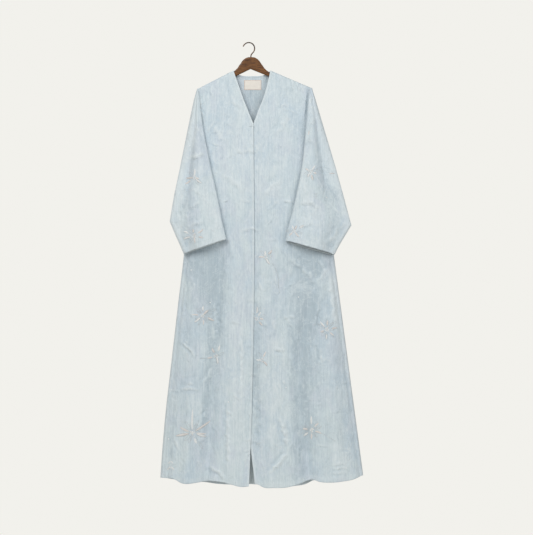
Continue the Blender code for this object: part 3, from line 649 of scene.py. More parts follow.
def creases(table, x, z):
    """Sum of creases: each a bell across a bowed and wavering line with a shallower trough beside it,
    fading out at both ends and a little uneven between them."""
    x, z = np.broadcast_arrays(np.asarray(x, float), np.asarray(z, float))
    total = np.zeros(x.shape)
    x0, z0, x1, z1, bow, width, depth = np.array(table).T
    run = np.hypot(x1 - x0, z1 - z0)
    cx, cz, reach = (x0 + x1) / 2, (z0 + z1) / 2, 0.6 * run + 4 * width + np.abs(bow)
    met = (cx + reach > x.min()) & (cx - reach < x.max()) & (cz + reach > z.min()) & (cz - reach < z.max())
    for i in np.flatnonzero(met):
        near = (np.abs(x - cx[i]) < reach[i]) & (np.abs(z - cz[i]) < reach[i])
        ux, uz = (x1[i] - x0[i]) / run[i], (z1[i] - z0[i]) / run[i]
        down = (x[near] - x0[i]) * ux + (z[near] - z0[i]) * uz
        along = down / run[i]
        across = (z[near] - z0[i]) * ux - (x[near] - x0[i]) * uz - 4 * bow[i] * along * (1 - along)
        # each crease's own place sets where its waves start
        waver = np.sin(WAVER_SLOW * down + 60 * x0[i]) + 0.5 * np.sin(WAVER_QUICK * down + 90 * z0[i])
        t = across / width[i] + WAVER * waver
        fade = ease(*CREASE_RISE, along) * ease(*CREASE_RISE, 1 - along)
        fade = fade * (0.8 + 0.25 * np.sin(DEPTH_WAVE * down + 40 * x1[i]))
        bell = np.exp(-(t**2)) - TROUGH_SHARE * np.exp(-((t + TROUGH_AWAY) ** 2))
        total[near] += depth[i] * fade * bell
    return total


def crumpled(table, seed, count, low, high):
    """A table of creases and small ones of random place, slant and size between two corners, from a
    fixed seed."""
    rng = np.random.default_rng(seed)
    rows = []
    for _ in range(count):
        x0, z0 = rng.uniform(low, high)
        run, slant, *shape = (rng.uniform(*limits) for limits in SMALL_CREASE.values())
        rows.append((x0, z0, x0 + run * math.cos(slant), z0 - run * math.sin(slant), *shape))
    return table + tuple(rows)


def wash(table, x, z):
    """Sum of soft patches: each a bell of its tone across x and z, with its middle line leaning."""
    total = np.zeros(np.broadcast(x, z).shape)
    for row in table:
        w = dict(zip(PATCH, row))
        across = (x - w["x"] - w["lean"] * (z - w["z"])) / w["rx"]
        total = total + w["tone"] * np.exp(-(across**2) - ((z - w["z"]) / w["rz"]) ** 2)
    return total


def crease_light_and_shade(table, x, z):
    """Painted highlight on each crease's ridge, full where it stands CREASE_HIGH out of the cloth, and a
    quarter as much painted shade in its trough.
    """
    return CREASE_HIGHLIGHT * np.clip(creases(table, x, z) / CREASE_HIGH, -0.25, 1.0)


def uneven(x, z, seed, depth):
    """Slow random waves, longer down the cloth than across it, from a fixed seed."""
    rng = np.random.default_rng(seed)
    total = np.zeros(np.broadcast(x, z).shape)
    for _ in range(WAVES):
        across, down, phase, size = (rng.uniform(*limits) for limits in WAVE.values())
        total = total + np.sin(across * x + down * z + phase) * size
    return depth * total / WAVES_REACH


layers = {"front": (FRONT_FOLDS, FRONT_SEED)}  # each layer's folds, and the seed of its slow waves
marks = {"front": crumpled(FRONT_CREASES, *FRONT_CRUMPLES)}  # the creases of each face


def layer_y(face, x, z):
    """y of the front or back layer's outer surface: flat in the middle, turned in to the side seams
    and over the shoulder line, open at the armholes, with its folds and creases."""
    x, z = np.broadcast_arrays(np.asarray(x, float), np.asarray(z, float))
    hung, seed = layers[face]
    depth = section_size(face, z) + folds(hung, x, z) + creases(marks[face], x, z)
    depth = depth + uneven(x, z, seed, UNEVEN)
    turn = section_size("turn", z)
    edge, opened = 1.0, 0.0
    for side in SIDES:
        from_side = (side_x(side, z) - x) * OUTWARD[side]
        groove = np.exp(-(((from_side - SIDE_GROOVE["inset"]) / SIDE_GROOVE["width"]) ** 2))
        begun = ease(0.0, SIDE_GROOVE["run"], SIDE_GROOVE["z"] - z)
        depth = depth - SIDE_GROOVE["depth"] * groove * begun
        inward = np.clip(from_side / turn, 0.0, 1.0)
        share = (1 - (1 - inward) ** 2) ** TURN_POWER
        edge = edge * share
        opened = opened + armhole(side, z) * (1 - share)
    over = np.clip(below_shoulder(x, z) / ROLL, 0.0, 1.0)
    y = (depth * edge + opened) * np.sqrt(1 - (1 - over) ** 2) + SHOULDER_GAP
    return -y if face == "front" else y


def front_y(side, x, z):
    """y of a front panel's outer surface. The left one steps back where the right one lies over it."""
    if side == "right":
        return layer_y("front", x, z)
    lap = spline(z, OPENING_EDGE["right"])
    behind = 1 - ease(0.0, LAP_FADE, x - lap - LAP_START)
    together = 1 - ease(-LAP_PARTS[0], -LAP_PARTS[1], -z)
    return layer_y("front", x, z) + LAP_STEP * behind * np.maximum(together, LAP_PARTED)


def front_top(side, x):
    """A front's top edge: the shoulder line, and past the neck point the neckline."""
    past_neck = (x - NECK_POINT[side][0]) * OUTWARD[side] < 0
    return np.where(past_neck, spline(x, NECK_EDGE[side]), shoulder_z(side, x))


def panel_places(shares, left_line, right_line, top, bottom, rows):
    """x and z of a panel's grid: columns at shares of the way between two lines, rows from its top
    edge over the shoulder's bend in small steps and on to the hem. As the lines and the top edge all
    lean, the columns' tops are found in a few rounds."""
    f = np.array(shares)

    def column_x(z):
        """x of the columns at the heights z."""
        return left_line(z) + (right_line(z) - left_line(z)) * f

    z_top = top(column_x(TOP_GUESS))
    for _ in range(TOP_ROUNDS):
        z_top = 0.5 * (z_top + top(column_x(z_top)))
    z_hem = bottom(column_x(HEM_Z))
    bend = ROLL * BEND_REACH * (1 - np.cos(np.radians(np.linspace(0, 90, BEND_ROWS))))
    start = z_top - bend[-1]
    z = np.vstack([z_top - bend[:, None], start + (z_hem - start) * np.linspace(0, 1, rows)[1:, None]])
    return column_x(z), z, z_hem


def cloth_piece(name, grid, facing, look, node, slot, edge, tone, closed_from=None, thick=THICK):
    """A sheet over a grid of points, thickened inwards. Rows from closed_from on also join their last
    column to the first. facing is the way its middle faces; edge is the share of painted highlight, on
    the label that of its border, and tone that of the cloth's faded tone, painted light and painted shade."""
    rows, columns, _ = grid.shape
    index = np.arange(rows * columns).reshape(rows, columns)
    corners = (index[:-1, :-1], index[1:, :-1], index[1:, 1:], index[:-1, 1:])
    quads = [np.stack(corners, axis=-1).reshape(-1, 4)]
    if closed_from is not None:
        ring = index[closed_from:]
        quads.append(np.stack([ring[:-1, -1], ring[1:, -1], ring[1:, 0], ring[:-1, 0]], axis=-1))
    quads = np.concatenate(quads)
    a, b, c = (grid[rows // 2 + i, columns // 2 + j] for i, j in ((0, 0), (1, 0), (0, 1)))
    if np.cross(b - a, c - a) @ np.array(facing) < 0:
        quads = quads[:, ::-1]
    mesh = bpy.data.meshes.new(name)
    mesh.from_pydata(grid.reshape(-1, 3).tolist(), [], quads.tolist())
    mesh.shade_smooth()
    for kind, values in (("edge", edge), ("wash", tone)):
        layer = mesh.attributes.new(kind, "FLOAT", "POINT")
        layer.data.foreach_set("value", np.ascontiguousarray(values, dtype=np.float32).reshape(-1))
    mesh.materials.append(look)
    made = bpy.data.objects.new(name, mesh)
    bpy.context.scene.collection.objects.link(made)
    wall = made.modifiers.new("thickness", "SOLIDIFY")
    wall.thickness = thick
    wall.offset = -1.0
    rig.ride(made, "root")
    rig.replaces(made, node)
    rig.slot(made, slot)
    return made


def front_edge_distance(side, x, z):
    """Distance from a front's neckline or opening edge, nearly square to it."""
    neck = [(pz, px) for px, pz in NECK_EDGE[side]]
    lowest = neck[-1][0]
    edge_x = np.where(z > lowest, spline(z, neck), spline(z, OPENING_EDGE[side]))
    return np.abs(x - edge_x) * np.where(z > lowest, NECK_LEAN, 1.0)


def within(depth, soft, distance):
    """1 nearer than depth to an edge and 0 farther, with a smooth step between."""
    return 1 - ease(depth - soft[0], depth + soft[1], distance)


def cut_size(grid):
    """The cut of a sheet from its grid: the longest row and column, and the area of its cells."""
    across = np.linalg.norm(np.diff(grid, axis=1), axis=-1).sum(axis=1)
    down = np.linalg.norm(np.diff(grid, axis=0), axis=-1).sum(axis=0)
    one, other = grid[1:, 1:] - grid[:-1, :-1], grid[1:, :-1] - grid[:-1, 1:]
    area = 0.5 * np.linalg.norm(np.cross(one, other), axis=-1).sum()
    return {"flat": (float(across.max()), float(down.max())), "area": float(area)}


cloth_look = make_cloth_material()
front_grids = {}
for side in SIDES:
    shares = np.unique(np.concatenate([np.linspace(*part) for part in FRONT_COLUMNS]))
    x, z, z_hem = panel_places(
        shares, lambda z: side_x(side, z), lambda z: spline(z, OPENING_EDGE[side]),
        lambda x: front_top(side, x), lambda x: spline(x, FRONT_HEM), FRONT_ROWS,
    )
    distance = front_edge_distance(side, x, z)
    strip = within(STRIP, STRIP_SOFT, distance)
    turned_up = within(HEM_DEPTH, HEM_SOFT, z - z_hem)
    raised = STRIP_RAISE * np.maximum(strip, turned_up) * ease(0.0, RAISED_FROM, below_shoulder(x, z))
    grid = np.stack([x, front_y(side, x, z) - raised, z], axis=-1)
    from_side = (side_x(side, z) - x) * OUTWARD[side]
    # painted highlight along the strip, the turned hem, the cut edges and the side turns
    painted_highlight = np.maximum(EDGE_HIGHLIGHT["strip"] * strip, EDGE_HIGHLIGHT["hem"] * turned_up)
    painted_highlight = painted_highlight + EDGE_HIGHLIGHT["edge"] * (1 - ease(0.0, EDGE_HIGHLIGHT_IN, distance))
    painted_highlight = painted_highlight + EDGE_HIGHLIGHT["side"] * (1 - ease(0.0, SIDE_HIGHLIGHT_IN, from_side))
    front_grids[side] = grid
    front = cloth_piece(
        f"cloth_front_{side}", grid, TO_FRONT, cloth_look, f"front_{side}", "cloth",
        edge=painted_highlight, tone=wash(FRONT_WASH_AND_SHADE, x, z) + crease_light_and_shade(marks["front"], x, z),
    )
    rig.sheet(front, held="hung", rests_on=["hanger_wood"], **cut_size(grid))


# The back
# One panel of the same cloth from both shoulder lines to the hem, with a shallow scoop for the neck.
# It is sewn to the fronts at the shoulders and sides, and its hem is turned up like theirs.
BACK_NECK_DROP = 0.0190
BACK_HEM = (
    (-0.3083, -1.5160), (-0.2400, -1.5290), (-0.1430, -1.5355), (-0.0592, -1.5440), (0.0104, -1.5430),
    (0.1625, -1.5480), (0.1949, -1.5432), (0.2240, -1.5310), (0.3000, -1.5240), (0.3994, -1.5080),
)
BACK_FOLDS = (
    (-0.1500, -0.420, -0.1750, -1.000, -0.2150, 0.032, 0.012),
    (-0.0700, -0.340, -0.0900, -1.000, -0.1150, 0.028, -0.016),
    (0.0120, -0.300, 0.0050, -1.000, -0.0150, 0.036, 0.014),
    (0.0850, -0.340, 0.1000, -1.000, 0.1150, 0.028, -0.016),
    (0.1800, -0.420, 0.2150, -1.000, 0.2450, 0.036, 0.013),
)
BACK_CREASES = (
    (-0.1300, -0.2000, -0.0600, -0.2600, 0.006, 0.0080, 0.0030),
    (0.1700, -0.2000, 0.1000, -0.2700, -0.006, 0.0080, 0.0030),
    (-0.1500, -0.4600, -0.0500, -0.5000, 0.008, 0.0070, 0.0034),
    (0.0300, -0.5200, 0.1600, -0.5000, 0.008, 0.0070, 0.0034),
    (-0.2000, -0.7600, -0.1300, -0.8300, 0.004, 0.0060, 0.0042),
    (0.2300, -0.8000, 0.1600, -0.8800, -0.004, 0.0060, 0.0046),
    (-0.0400, -0.9000, 0.0700, -0.8800, 0.006, 0.0060, 0.0028),
    (-0.2300, -1.1600, -0.1400, -1.1900, 0.004, 0.0050, 0.0034),
    (0.1500, -1.2200, 0.2600, -1.1900, 0.005, 0.0055, 0.0038),
    (0.0300, -1.3200, 0.0000, -1.4200, 0.004, 0.0070, 0.0046),
    (-0.1200, -1.3900, -0.0500, -1.4600, 0.004, 0.0060, 0.0038),
)
BACK_CRUMPLES = (32, 120, (-0.30, -1.52), (0.38, -0.20))
BACK_SEED = 8
BACK_COLUMNS = 140
BACK_ROWS = 320
# On the back the deeper patch under the neck is painted shade on the inside seen through the neck, and the full pale
# patch low in the middle is painted light on the inside seen through the lap's gap.
BACK_WASH_LIGHT_AND_SHADE = (
    (0.0120, -0.1900, 0.055, 0.070, 0.00, -0.75),
    (0.0100, -0.3600, 0.150, 0.170, 0.00, 0.40),
    (-0.1300, -0.6200, 0.050, 0.120, 0.10, -0.45),
    (0.1500, -0.7000, 0.060, 0.140, -0.10, -0.40),
    (0.0200, -0.8200, 0.045, 0.160, 0.00, 0.45),
    (-0.1900, -1.0500, 0.035, 0.120, 0.05, 0.50),
    (-0.0900, -1.1500, 0.035, 0.260, 0.08, -0.45),
    (0.1000, -1.1300, 0.040, 0.240, -0.05, 0.45),
    (0.2200, -1.2500, 0.045, 0.200, -0.10, -0.45),
    (-0.2200, -1.4000, 0.050, 0.070, 0.00, 0.45),
    (0.2900, -1.4300, 0.050, 0.070, 0.00, 0.50),
    (0.0080, -1.4900, 0.020, 0.070, 0.00, 1.00),
)


def back_top(x):
    """The back's top edge: the shoulder lines, and between the neck points a scoop with a flat
    bottom, by a fourth power."""
    (x0, z0), (x1, z1) = NECK_POINT["right"], NECK_POINT["left"]
    across = np.clip((x - x0) / (x1 - x0), 0.0, 1.0)
    scoop = z0 + (z1 - z0) * across - BACK_NECK_DROP * (1 - (2 * across - 1) ** 4)
    shoulders = np.where(x < x0, shoulder_z("right", x), shoulder_z("left", x))
    return np.where((x > x0) & (x < x1), scoop, shoulders)


layers["back"] = (BACK_FOLDS, BACK_SEED)
marks["back"] = crumpled(BACK_CREASES, *BACK_CRUMPLES)
x, z, z_hem = panel_places(
    np.linspace(0, 1, BACK_COLUMNS), lambda z: side_x("right", z), lambda z: side_x("left", z),
    back_top, lambda x: spline(x, BACK_HEM), BACK_ROWS,
)
turned_up = within(HEM_DEPTH, HEM_SOFT, z - z_hem)
back_grid = np.stack([x, layer_y("back", x, z) + STRIP_RAISE * turned_up, z], axis=-1)
# The back's turned hem gets the same painted highlight as the fronts'.
back = cloth_piece(
    "cloth_back", back_grid, TO_BACK, cloth_look, "back", "cloth",
    edge=EDGE_HIGHLIGHT["hem"] * turned_up, tone=wash(BACK_WASH_LIGHT_AND_SHADE, x, z) + crease_light_and_shade(marks["back"], x, z),
)
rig.sheet(back, held="hung", rests_on=["hanger_wood"], **cut_size(back_grid))


# The sleeves
# Wide straight sleeves, each one folded sheet sewn to the body round the armhole. They hang flat in
# front of the body's sides, and the cuffs are turned up and stitched.
SLEEVE_COLUMNS = {"rear": 44, "fold": 9, "front": 62, "outer": 15}
# Sections from the shoulder tip to the cuff: their edges, how far the outer one hangs free of the
# body's side, the inner fold's width, the swell in front, and the rows of points since the last
SLEEVE = ("outer_x", "outer_z", "inner_x", "inner_z", "free", "fold", "belly", "steps")
SLEEVES = {
    "right": (
        (-0.1802, -0.1598, -0.1749, -0.1598, 0.00, 0.0046, 0.0000, 0),
        (-0.1840, -0.1710, -0.1738, -0.1710, 0.00, 0.0065, 0.0000, 8),
        (-0.1919, -0.2000, -0.1710, -0.2000, 0.00, 0.0080, 0.0020, 8),
        (-0.2113, -0.2930, -0.1588, -0.2930, 0.00, 0.0125, 0.0050, 18),
        (-0.2381, -0.4266, -0.1330, -0.4266, 0.00, 0.0165, 0.0080, 24),
        (-0.2596, -0.5300, -0.1130, -0.5150, 0.75, 0.0180, 0.0100, 18),
        (-0.2749, -0.6229, -0.0960, -0.6000, 1.00, 0.0190, 0.0110, 16),
        (-0.2531, -0.6740, -0.0870, -0.6410, 1.00, 0.0200, 0.0120, 10),
        (-0.2255, -0.7340, -0.0776, -0.6840, 1.00, 0.0205, 0.0120, 14),
    ),
    "left": (
        (0.2213, -0.1572, 0.2159, -0.1572, 0.00, 0.0046, 0.0000, 0),
        (0.2240, -0.1680, 0.2115, -0.1680, 0.00, 0.0065, 0.0000, 8),
        (0.2338, -0.2000, 0.2082, -0.2000, 0.00, 0.0080, 0.0020, 8),
        (0.2590, -0.2864, 0.2005, -0.2864, 0.00, 0.0125, 0.0050, 18),
        (0.2998, -0.4224, 0.1863, -0.4224, 0.00, 0.0165, 0.0080, 24),
        (0.3293, -0.5300, 0.1668, -0.5250, 0.75, 0.0180, 0.0100, 18),
        (0.3574, -0.6361, 0.1476, -0.6060, 1.00, 0.0190, 0.0110, 16),
        (0.3302, -0.6810, 0.1358, -0.6465, 1.00, 0.0200, 0.0120, 10),
        (0.2969, -0.7360, 0.1286, -0.6885, 1.00, 0.0205, 0.0120, 14),
    ),
}
UNDERARM = 4  # the section at the lower end of the armhole
TOP_POWER = 1.8  # sections crowd towards the shoulder tip by this power
SLEEVE_SEAM = 0.0003  # gap to the body's side
SLEEVE_LIFT = 0.014  # the sleeve lifts from its seam gap to its clearance over this width
OUTER_ROUND = 0.016  # of the free sleeve's outer fold
UNDERARM_STEP = 0.004  # from the free sleeve's outer fold to where its rear layer starts
SLEEVE_CLEAR = 0.0030  # from the body's front, away from the seam
SLEEVE_HANG = 0.0080  # forward of the seam plane, at the outer edge
SLEEVE_REST = 0.045  # how far inside the body's side the free sleeve starts to lie on the front
REAR_CUFF_DROP = {"right": 0.0030, "left": 0.0070}
REAR_CUFF_FROM = 0.9  # share of the sleeve where the rear layer starts to drop
REARWARD = {"fold": (0.8, 0.2), "outer": (0.1, 1.0)}  # shares of that drop along the folds' columns
CUFF_DEPTH = 0.0180
# Painted highlight across the cuffs, fuller on the rear layer, and along the inner fold
CUFF_HIGHLIGHT = {"rear": 1.0, "front": 0.4}
INNER_FOLD_HIGHLIGHT = 0.6
INNER_COLUMNS = (1.0, 3.5)  # painted highlight on the inner fold, this many columns to each side
OUTER_COLUMNS = (18, 11)  # painted highlight on the outer fold comes up between these columns from the last
BELLY_POWER = 1.5
SLEEVE_WAVES = (5, 0.0012)  # seed and depth
HALVINGS = 24
SLEEVE_CREASES = {
    "right": (
        (-0.2400, -0.4180, -0.1450, -0.3880, 0.004, 0.0065, 0.0050),
        (-0.2080, -0.5740, -0.1700, -0.5560, -0.003, 0.0050, 0.0045),
        (-0.2535, -0.6030, -0.2215, -0.5900, 0.002, 0.0060, -0.0028),
        (-0.2450, -0.5800, -0.2200, -0.5200, 0.004, 0.0070, 0.0028),
        (-0.1560, -0.2600, -0.1350, -0.4200, 0.003, 0.0080, 0.0024),
        (-0.2150, -0.6400, -0.1500, -0.6150, -0.003, 0.0070, 0.0028),
        (-0.1900, -0.3200, -0.1950, -0.3700, 0.001, 0.0070, 0.0010),
        (-0.1200, -0.5800, -0.1050, -0.6500, 0.002, 0.0080, 0.0028),
    ),
    "left": (
        (0.1720, -0.5630, 0.2445, -0.5780, 0.012, 0.0060, 0.0040),
        (0.2990, -0.5850, 0.3400, -0.6010, 0.002, 0.0050, 0.0040),
        (0.3100, -0.6060, 0.3440, -0.5900, 0.002, 0.0045, 0.0030),
        (0.2800, -0.4620, 0.3060, -0.4560, 0.003, 0.0045, 0.0036),
        (0.2203, -0.1723, 0.2098, -0.2175, 0.001, 0.0045, 0.0032),
        (0.2650, -0.4300, 0.3000, -0.5000, -0.004, 0.0100, 0.0012),
        (0.1750, -0.6400, 0.2700, -0.6350, 0.004, 0.0080, 0.0010),
        (0.3150, -0.6500, 0.2700, -0.7000, 0.003, 0.0080, 0.0028),
        (0.2000, -0.3300, 0.2400, -0.3650, 0.003, 0.0070, 0.0020),
    ),
}
SLEEVE_CRUMPLES = {
    "right": (41, 26, (-0.26, -0.72), (-0.10, -0.20)),
    "left": (42, 30, (0.14, -0.72), (0.34, -0.20)),
}
SLEEVE_WASH = {
    "right": (
        (-0.1310, -0.5830, 0.026, 0.085, -0.375, 0.60),
        (-0.1500, -0.6720, 0.070, 0.030, 0.00, 0.45),
        (-0.2050, -0.3000, 0.030, 0.080, 0.15, 0.35),
        (-0.2150, -0.5800, 0.030, 0.035, 0.00, -0.45),
        (-0.1900, -0.6200, 0.030, 0.022, 0.30, -0.35),
        (-0.2400, -0.6450, 0.022, 0.055, 0.20, 0.55),
        (-0.1700, -0.4500, 0.030, 0.060, -0.20, 0.20),
    ),
    "left": (
        (0.1930, -0.4900, 0.022, 0.130, -0.20, 0.50),
        (0.2250, -0.6200, 0.045, 0.045, 0.00, 0.40),
        (0.3000, -0.5300, 0.040, 0.055, -0.20, -0.50),
        (0.2750, -0.4550, 0.035, 0.030, 0.00, -0.35),
        (0.2900, -0.6250, 0.030, 0.025, 0.00, -0.30),
        (0.2450, -0.3000, 0.022, 0.080, -0.30, 0.35),
        (0.3400, -0.6350, 0.016, 0.030, 0.00, 0.55),
        (0.2300, -0.6900, 0.070, 0.020, -0.30, 0.30),
    ),
}

for side in SIDES:
    marks[f"sleeve_{side}"] = crumpled(SLEEVE_CREASES[side], *SLEEVE_CRUMPLES[side])


def sleeve_row(side, place):
    """The sizes of a sleeve's section at place, a row number of its table with a fraction: each on a
    line between rows, the inner edge on a curve."""
    table, keys = np.array(SLEEVES[side]), np.arange(len(SLEEVES[side]))
    row = {}
    for name, sizes in zip(SLEEVE[:-1], table.T):
        if name.startswith("inner"):
            row[name] = spline(place, tuple(zip(keys, sizes)))
        else:
            row[name] = np.interp(place, keys, sizes)
    row["length"] = np.abs(row["outer_x"] - row["inner_x"])
    row["slant"] = (row["inner_z"] - row["outer_z"]) / row["length"]
    row["side"] = (row["outer_x"] - side_x(side, row["outer_z"])) * OUTWARD[side]
    row["turn"] = (1 - row["free"]) * row["side"] + row["free"] * OUTER_ROUND
    return row


def sleeve_place(side, row, inward):
    """x and z at a distance inward from the outer edge of a section."""
    return row["outer_x"] - OUTWARD[side] * inward, row["outer_z"] + row["slant"] * inward


def sleeve_rear(side, row, inward):
    """How far forward a sleeve's layer next to the body lies: just clear of the body's front, and
    hanging straight beyond it."""
    x, z = sleeve_place(side, row, inward)
    lifted = ease(0.0, SLEEVE_LIFT, (side_x(side, z) - x) * OUTWARD[side])
    body = -layer_y("front", x, z) + SLEEVE_SEAM + (SLEEVE_CLEAR - SLEEVE_SEAM) * lifted
    flat = section_size("front", z) + SLEEVE_CLEAR
    hung = SLEEVE_HANG + (flat - SLEEVE_HANG) * np.clip(inward / (row["side"] + SLEEVE_REST), 0.0, 1.0)
    return np.maximum(body, (1 - row["free"]) * body + row["free"] * hung)


def sleeve_front(side, row, inward):
    """How far forward the outer layer lies: a fold's width and the sleeve's belly in front of the
    layer behind, with creases that die away at both edges."""
    x, z = sleeve_place(side, row, inward)
    inner = row["length"] - row["fold"] / 2
    across = np.clip((inner - inward) / (inner - row["turn"]), 0.0, 1.0)
    creased = creases(marks[f"sleeve_{side}"], x, z) + uneven(x, z, *SLEEVE_WAVES)
    belly = row["belly"] * np.sin(math.pi * across).clip(0.0) ** BELLY_POWER
    bulge = belly + creased * np.clip(8 * across * (1 - across), 0.0, 1.0)
    return sleeve_rear(side, row, inward) + row["fold"] + bulge


def sleeve_y(side, x, z):
    """y of a sleeve's outer face at (x, z), by halving the range of places until its line meets z."""
    x, z = np.broadcast_arrays(np.asarray(x, float), np.asarray(z, float))
    low, high = np.zeros(x.shape), np.full(x.shape, len(SLEEVES[side]) - 1.0)
    for _ in range(HALVINGS):
        middle = (low + high) / 2
        row = sleeve_row(side, middle)
        above = row["outer_z"] + row["slant"] * (row["outer_x"] - x) * OUTWARD[side] > z
        low, high = np.where(above, middle, low), np.where(above, high, middle)
    row = sleeve_row(side, low)
    return -sleeve_front(side, row, (row["outer_x"] - x) * OUTWARD[side])


def sleeve_grid(side):
    """The sleeve's points, one row for each section: the layer next to the body, the inner fold as a
    half circle, the outer layer, and round the outer edge to the rear of the armhole."""
    count = SLEEVE_COLUMNS
    places = [np.array([0.0])]
    for k, (*_, steps) in enumerate(SLEEVES[side][1:]):
        share = np.arange(1, steps + 1) / steps
        places.append(k + (share**TOP_POWER if k == 0 else share))
    row = sleeve_row(side, np.concatenate(places)[:, None])
    radius, free = row["fold"] / 2, row["free"]
    inner = row["length"] - radius
    start = (1 - free) * (row["side"] - SLEEVE_SEAM) + free * (row["turn"] + UNDERARM_STEP)
    rear_e = start + (inner - start) * np.linspace(0, 1, count["rear"])
    rear_f = sleeve_rear(side, row, rear_e)
    angle = np.linspace(-math.pi / 2, math.pi / 2, count["fold"] + 2)[1:-1]
    fold_e = inner + radius * np.cos(angle)
    fold_f = rear_f[:, -1:] + radius + radius * np.sin(angle)
    front_e = inner + (row["turn"] - inner) * np.linspace(0, 1, count["front"])
    front_f = sleeve_front(side, row, front_e)
    seam_f = layer_y("front", side_x(side, row["outer_z"]), row["outer_z"])
    end_f = (1 - free) * seam_f + free * sleeve_rear(side, row, row["turn"])
    angle = np.linspace(0, math.pi, count["outer"] + 1)[1:]
    outer_e = row["turn"] - row["turn"] * np.sin(angle)
    outer_e[:, -1:] = row["turn"] - (1 - free) * SLEEVE_SEAM
    outer_f = (front_f[:, -1:] + end_f) / 2 + (front_f[:, -1:] - end_f) / 2 * np.cos(angle)
    inward = np.concatenate([rear_e, fold_e, front_e, outer_e], axis=1)
    forward = np.concatenate([rear_f, fold_f, front_f, outer_f], axis=1)
    rearward = np.concatenate([
        np.ones(count["rear"]), np.linspace(*REARWARD["fold"], count["fold"]),
        np.zeros(count["front"]), np.linspace(*REARWARD["outer"], count["outer"]),
    ])
    near_cuff = ease(REAR_CUFF_FROM, 1.0, np.linspace(0, 1, len(forward)))[:, None]
    x, z = sleeve_place(side, row, inward)
    z = z - REAR_CUFF_DROP[side] * near_cuff * rearward
    return np.stack([x, -forward, z], axis=-1)


def rise_from_last(grid):
    """Distance of each point of a grid from its last row, along its column."""
    steps = np.linalg.norm(np.diff(grid, axis=0), axis=-1)
    return np.vstack([np.cumsum(steps[::-1], axis=0)[::-1], np.zeros((1, grid.shape[1]))])


def grid_normals(grid, facing):
    """Unit normals of a grid, turned so that its middle faces the given way."""
    down, across = np.gradient(grid, axis=0), np.gradient(grid, axis=1)
    normal = np.cross(down, across)
    normal = normal / np.maximum(np.linalg.norm(normal, axis=-1, keepdims=True), 1e-12)
    middle = normal[grid.shape[0] // 2, grid.shape[1] // 2]
    return normal if middle @ np.array(facing) > 0 else -normal


sleeve_grids = {}
for side in SIDES:
    grid = sleeve_grid(side)
    turned_up = within(CUFF_DEPTH, HEM_SOFT, rise_from_last(grid))
    grid = grid + grid_normals(grid, TO_FRONT) * (STRIP_RAISE * turned_up)[..., None]
    sleeve_grids[side] = grid
    column, count = np.arange(grid.shape[1]), SLEEVE_COLUMNS
    # Painted highlight along both folds and across the cuff, fullest on the rear layer, where it lightens the strip
    # that lies in shadow below the front edge.
    outer_fold = ease(*(grid.shape[1] - from_last for from_last in OUTER_COLUMNS), column)
    inner_fold = 1 - ease(*INNER_COLUMNS, np.abs(column - count["rear"] - count["fold"] / 2 - 1))
    cuff = np.where(column < count["rear"], CUFF_HIGHLIGHT["rear"], CUFF_HIGHLIGHT["front"]) * turned_up
    x, z = grid[..., 0], grid[..., 2]
    sleeve = cloth_piece(
        f"cloth_sleeve_{side}", grid, TO_FRONT, cloth_look, f"sleeve_{side}", "cloth",
        edge=np.maximum(cuff, np.maximum(outer_fold, INNER_FOLD_HIGHLIGHT * inner_fold)),
        tone=wash(SLEEVE_WASH[side], x, z) + crease_light_and_shade(marks[f"sleeve_{side}"], x, z),
        closed_from=sum(row[-1] for row in SLEEVES[side][:UNDERARM + 1]),
    )
    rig.sheet(sleeve, held="hung", rests_on=["hanger_wood"], **cut_size(grid))


# The neck facing
# A narrow strip of the cloth sewn to the inside of the back along the neck's scoop. Its lower edge
# drops at both ends, where it goes into the shoulder seams.
FACING_INSET = 0.012  # from the neck points
FACING_TOP = 0.0006  # below the scoop
FACING_MIDDLE = 0.0045
FACING_ENDS = 0.0160  # more at its ends
FACING_RISE = 0.0017  # of its face from the back's outer one
THIN = 0.0006  # of the facing and the label
FACING_GRID = (60, 10)
# Painted highlight along both edges of the facing
FACING_HIGHLIGHT = 0.5
FACING_EDGES = (0.002, 0.7)  # painted highlight down to this depth, and from this share of the width


def facing_x(u):
    """x at u from -1 to 1 across the facing, which ends short of both neck points."""
    x0, x1 = NECK_POINT["right"][0] + FACING_INSET, NECK_POINT["left"][0] - FACING_INSET
    return (x0 + x1) / 2 + u * (x1 - x0) / 2


def facing_drop(u):
    """How far below the scoop the facing's lower edge lies, at u from -1 to 1 across it."""
    return FACING_MIDDLE + FACING_ENDS * np.abs(u) ** 4


u, share = np.meshgrid(np.linspace(-1, 1, FACING_GRID[0]), np.linspace(0, 1, FACING_GRID[1]))
x = facing_x(u)
down = FACING_TOP + (facing_drop(u) - FACING_TOP) * share
z = back_top(x) - down
facing_grid = np.stack([x, layer_y("back", x, z) - FACING_RISE, z], axis=-1)
upper, lower = 1 - ease(0.0, FACING_EDGES[0], down), ease(FACING_EDGES[1], 1.0, share)
facing = cloth_piece(
    "cloth_neck_facing", facing_grid, TO_FRONT, cloth_look, "neck_facing", "cloth",
    edge=FACING_HIGHLIGHT * upper + FACING_HIGHLIGHT * lower, tone=0 * x, thick=THIN,
)
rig.sheet(facing, held="laid", rests_on=["cloth_back"], **cut_size(facing_grid))


# The label
# A plain label woven in cream satin with a thin rose border, sewn by its edge to the inside of the
# back below the neck.
LABEL_SIZE = (0.0600, 0.0345)
LABEL_CENTRE = (0.0138, -0.1452)
LABEL_RISE = 0.0019  # of its face from the back's outer one
LABEL_GRID = (61, 37)
LABEL_WAVE, LABEL_CURL = 0.0004, 0.0003  # of its middle and of its corners
LABEL_BORDER = (0.0012, 0.0024)  # its threads thin out between these distances from the edge
LABEL_BORDER_TONE = 0.6
LABEL_CREAM = (0.740, 0.705, 0.655)
LABEL_ROSE = (0.600, 0.430, 0.360)


